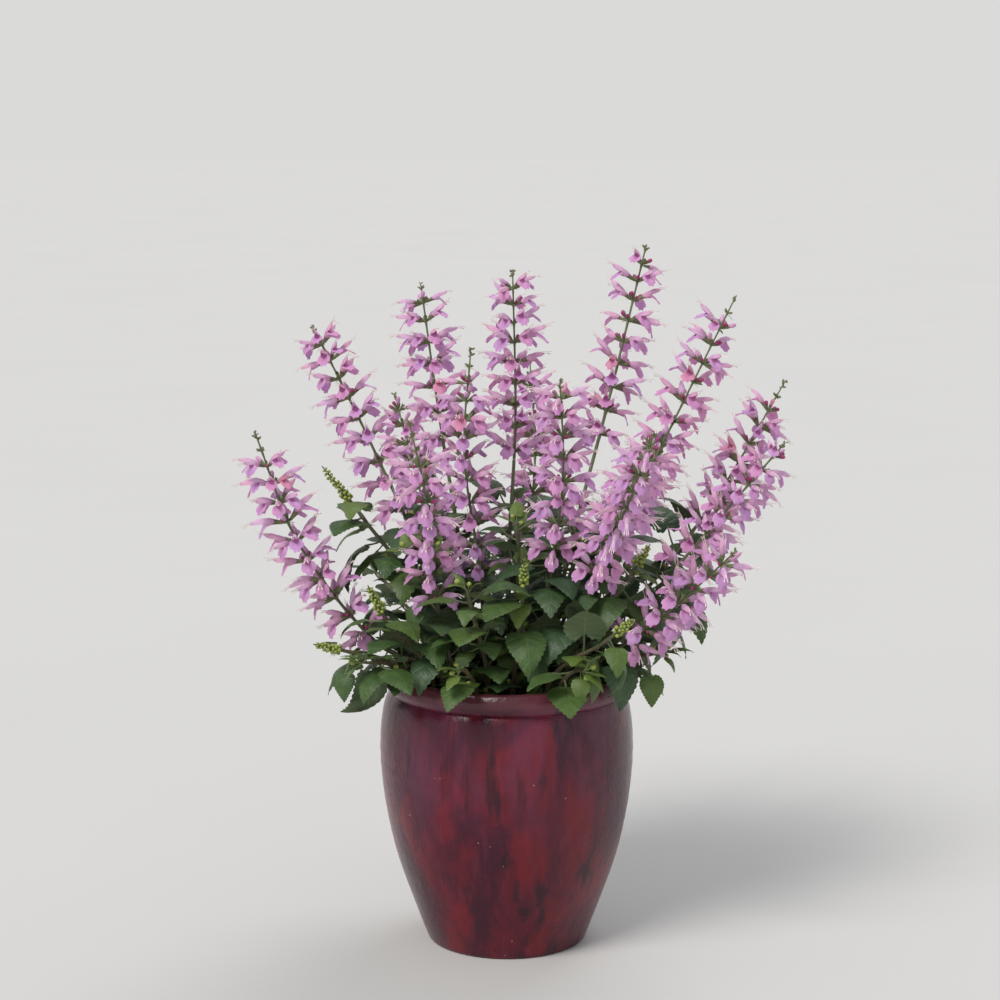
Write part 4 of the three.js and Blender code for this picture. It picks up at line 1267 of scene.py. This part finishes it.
def calyx_patches(flush, columns=12):
    stalk = turned_patch([(0.3, 0.75), (3.4, 0.65)], 5, GREEN)
    rows = [(3.2, 0.6), (4.8, 1.4), (8.5, 1.85), (11.0, 2.35)]
    return [stalk, turned_patch(rows, columns, GREEN, 0.07, calyx_teeth, flush)]


def stamen_patches(lift):
    """Two stamens that leave the hood at its tip, and a longer style with a bent end."""
    style = [(22, 0, 3.2), (31, 0, 3.6 + lift), (36.5, 0.2, 3.6 + lift), (40, 0.5, 4.6 + lift)]
    patches = [tube_patch(style, (0.32, 0.32, 0.3, 0.14), 3, PALE, (0.6, 0, 0))]
    for side in (-0.8, 0.8):
        stamen = [(22, side, 2.4), (29.5, side * 1.1, 2.6 + lift * 0.8), (35, side * 2, 1.8 + lift)]
        anther = [(34.2, side * 1.9, 2.6 + lift), (35.2, side * 2, 1.8 + lift),
                  (36.4, side * 2.2, 1.0 + lift)]
        patches.append(tube_patch(stamen, (0.3, 0.3, 0.26), 3, PALE, (0.5, 0, 0)))
        patches.append(tube_patch(anther, (0.15, 0.55, 0.15), 3, PALE, (1, 0, 0)))
    return patches


def joined(patches):
    """Patches of the same material and kind of face as one each, which are quicker to stamp."""
    groups = {}
    for patch in patches:
        groups.setdefault((patch.slot, patch.faces.shape[1]), []).append(patch)
    made = []
    for (slot, _), group in groups.items():
        offsets = np.cumsum([0] + [len(p.points) for p in group[:-1]])
        faces = np.concatenate([p.faces + offset for p, offset in zip(group, offsets)])
        points, plan, tone = (np.concatenate([getattr(p, key) for p in group])
                              for key in ("points", "plan", "tone"))
        made.append(Patch(points, faces, slot, plan, tone))
    return made


def bend(patches, droop):
    """Curves a flower's outer part down, as its own weight does."""
    for patch in patches:
        far = np.maximum(patch.points[:, 0] - 10, 0) / 20
        patch.points[:, 2] -= droop * far ** 2
        patch.points[:, 0] -= 0.1 * droop * far ** 2
    return patches


def flower_kinds():
    kinds = []
    for hood_lift, lip_forward, ruffle, droop, flush in (
            (0.0, 4.2, 0.6, 2.0, 0.3), (1.2, 2.6, 0.9, 4.0, 0.6), (-1.0, 5.6, 0.5, 1.0, 0.1),
            (0.6, 1.8, 1.0, 5.5, 0.5), (-0.4, 3.6, 0.4, 0.0, 0.4), (0.3, 4.8, 0.8, 3.2, 0.8)):
        made = corolla_patches(hood_lift, lip_forward, ruffle) + calyx_patches(flush)
        kinds.append(joined(bend(made + stamen_patches(hood_lift), droop)))
    return kinds


def bud_kinds():
    """Half-open buds, of which the short ones are deep magenta, spent calyces and green buds."""
    short = turned_patch([(9, 1.7), (12.5, 2.5), (14.6, 2.2), (16, 0.05)], 8, PETALS, flush=3)
    long = turned_patch([(9, 1.5), (13, 2.2), (18, 2.9), (21, 2), (22, 0.05)], 8, PETALS, flush=0.5)
    green = turned_patch([(0.3, 0.6), (2, 0.7), (4, 1.8), (6.2, 1.5), (8, 0.05)], 6, GREEN, flush=0.5)
    return {"short": joined(calyx_patches(0.8, 8) + [short]),
            "long": joined(calyx_patches(0.5, 8) + [long]),
            "spent": joined(calyx_patches(0.2, 10)), "green": [green]}


def bract_patch(spot, angle, draw, size):
    """A small pointed leaflet under a whorl."""
    form = Flower(spot, angle, mix(-20, 30, draw()), size)
    rows = []
    for t in (0, 0.3, 0.65, 1):
        half = 1.9 * math.sin(math.pi * (0.12 + 0.86 * t)) * (1 - 0.3 * t)
        up = 1.2 * t - 2.2 * t * t
        rows.append([(8 * t, side * half, up - 0.3 * abs(side)) for side in (-1, 0, 1)])
    return grid_patch(form.at(rows), GREEN, rows, (0.2, 0.3, draw()), closed=False)


def make_raceme(stem, materials, kinds, buds, room):
    """A raceme: its stalk, the planned whorls, and what stands between their four flowers."""
    draw = draws(stem.seed + RACEME_STEP)
    shape = Shape()
    line = stem.line
    lengths = np.arange(stem.top + GAP, line.length, 5)
    radii = mix(1.9, 0.9, (lengths - stem.top) / (line.length - stem.top))
    radii += knots(lengths, [whorl[0] for whorl in stem.whorls], 0.5, 3)
    shape.add(stem_patch(line, [*lengths, line.length], [*radii, 0.3], stem.turn, STALK, 8))
    for length, turn, share, sides in stem.whorls:
        spot = stem.spot(length)
        young = share >= stem.until
        for kind, flower in sides:
            chance = draw()
            if kind == "flower":
                shape.stamp(kinds[int(draw() * len(kinds))], flower, chance)
            else:
                flower.size = PLANNED_BUD_SIZE
                name = "green" if young else "short" if draw() < 0.45 else "long"
                shape.stamp(buds[name], flower, chance)
        for k in range(4):
            angle = turn + (k + 0.5) * QUARTER + mix(-0.2, 0.2, draw())
            slope = mix(20, 50, draw())
            if not young and draw() < stem.open * tip_share(share, stem.tip) ** 2:
                size = mix(1.0, 1.22, draw()) * tip_share(share, 0.8)
                lower = mix(0, 40, draw())
                flower = place_flower(room, stem, spot, angle, lower, size, FILL_TRIES, FILL_EASE)
                if flower:
                    shape.stamp(kinds[int(draw() * len(kinds))], flower, draw())
                    continue
            name = "green" if young else "short" if draw() < 0.4 else "spent"
            shape.stamp(buds[name], Flower(spot, angle, slope, mix(0.6, 0.9, draw())), draw())
        for k in range(2):
            shape.add(bract_patch(spot, turn + k * math.pi + 0.4, draw, mix(0.7, 1.1, draw())))
    tip = line.at(line.length)
    for k in range(TIP_BUDS):
        small = Flower(tip, k * 2.4, mix(20, 80, draw()), mix(0.4, 0.75, draw()))
        small.place = tip.place - tip.along * mix(0, 9, draw())
        shape.stamp(buds["green"], small, draw())
    piece = shape.build(stem.raceme.replace("raceme", "flowers"), materials, sharp=70)
    place_piece(piece, "flowers", stem.raceme)


def make_stem(stem, materials):
    """A stem with its leaves, the small tufts in their axils and, on a young shoot, its head."""
    draw = draws(stem.seed + STEM_STEP)
    shape = Shape()
    line = stem.line
    end = line.length if stem.head else stem.top
    lengths = np.append(np.arange(0, end - 3, 6), end)
    radii = mix(STEM_RADIUS, TIP_RADIUS, np.minimum(lengths / stem.top, 1)) - 0.3
    if stem.levels:
        radii += knots(lengths, [level for level, _ in stem.levels], 0.7, 4)
    if stem.head:
        radii *= np.interp(lengths, (stem.top, line.length), (1, 0.35))
    shape.add(stem_patch(line, lengths, radii, stem.turn))
    for level, leaves in stem.levels:
        for leaf in leaves:
            if leaf:
                age = min(0.95, max(0.02, mix(-0.1, 0.65, level / stem.top * draw())))
                shape.add(*leaf_patches(leaf, draw, age))
        if draw() < 0.4:
            angle = stem.turn + int(draw() * 4) * QUARTER
            add_tuft(shape, stem.spot(level), angle, draw)
    for leaf in stem.small_leaves:
        shape.add(*leaf_patches(leaf, draw, mix(0.1, 0.95, draw()), 0.8, small=True))
    if stem.head > SHORTEST_HEAD:
        rings = int(stem.head / 4.2)
        for k, side in product(range(rings), range(5)):
            spot = line.at(stem.top + k * stem.head / rings + 2)
            angle = stem.turn + side * 2 * math.pi / 5 + k * 0.6
            size = mix(0.95, 0.5, k / rings) * mix(0.85, 1.15, draw()) * 0.9
            shape.stamp([HEAD_BUD], Flower(spot, angle, mix(20, 50, draw()), size), draw())
    elif stem.head:
        for k in range(2):
            add_tuft(shape, line.at(line.length - 9 + 7 * k), stem.turn + k * QUARTER, draw)
    piece = shape.build(f"leafy_{stem.name}", materials, sharp=60)
    place_piece(piece, "young_leaves" if stem.head else "leaves", stem.name)


# Studio

def make_floor():
    mesh = bpy.data.meshes.new("studio_floor")
    corners = [(x * FLOOR_REACH, y * FLOOR_REACH, 0) for x, y in ((-1, -1), (1, -1), (1, 1), (-1, 1))]
    mesh.from_pydata(corners, [], [(0, 1, 2, 3)])
    mesh.materials.append(floor_material())
    put("studio_floor", mesh)


def make_sun(name, towards, height, spread, strength, tint):
    """Soft light from a compass direction, at a height above the horizon, in degrees."""
    data = bpy.data.lights.new(name, "SUN")
    data.angle = math.radians(spread)
    data.energy = strength
    data.color = tint
    put(name, data).rotation_euler = (math.radians(90 - height), 0, math.radians(towards))


def make_world():
    """Even surroundings, as bright as the lit floor at the horizon and darker overhead."""
    paint = Paint("studio", "worlds")
    rise = paint.split(paint.place("Generated"))[2]
    tone = paint.blend(paint.step(rise, 0.08, 0.7), (218, 218, 217), (168, 170, 174))
    light = paint.add("ShaderNodeBackground", {"Color": tone})[0]
    paint.add("ShaderNodeOutputWorld", {"Surface": light})
    bpy.context.scene.world = paint.owner


def make_studio():
    make_floor()
    make_sun("key", -38, 50, 24, 2.0, (1.0, 0.98, 0.95))
    make_sun("back", 150, 58, 30, 0.95, (0.96, 0.98, 1.0))
    make_world()
    scene = bpy.context.scene
    scene.view_settings.view_transform = "Standard"
    data = bpy.data.cameras.new("camera")
    data.lens = CAMERA_LENS
    data.sensor_width = 36
    data.clip_end = 100
    camera = put("camera", data)
    camera.location = [c * MM for c in CAMERA_PLACE]
    camera.rotation_euler = (math.radians(CAMERA_PITCH), 0, 0)
    scene.camera = camera


make_studio()
make_pot()
make_soil()

stems, room = lay_out()
green_stem = stem_material()
old_leaf = leaf_material("old_leaf", (50, 76, 50), (84, 108, 50), (86, 114, 84))
new_leaf = leaf_material("new_leaf", (58, 86, 46), (112, 134, 56), (104, 134, 78))
green_bud = bud_material()
raceme_materials = [petal_material(), calyx_material(), stamen_material(), green_stem]
flower_set = flower_kinds()
bud_set = bud_kinds()
for stem in stems:
    make_stem(stem, [green_stem, new_leaf if stem.head else old_leaf, green_bud])
    if stem.raceme:
        make_raceme(stem, raceme_materials, flower_set, bud_set, room)
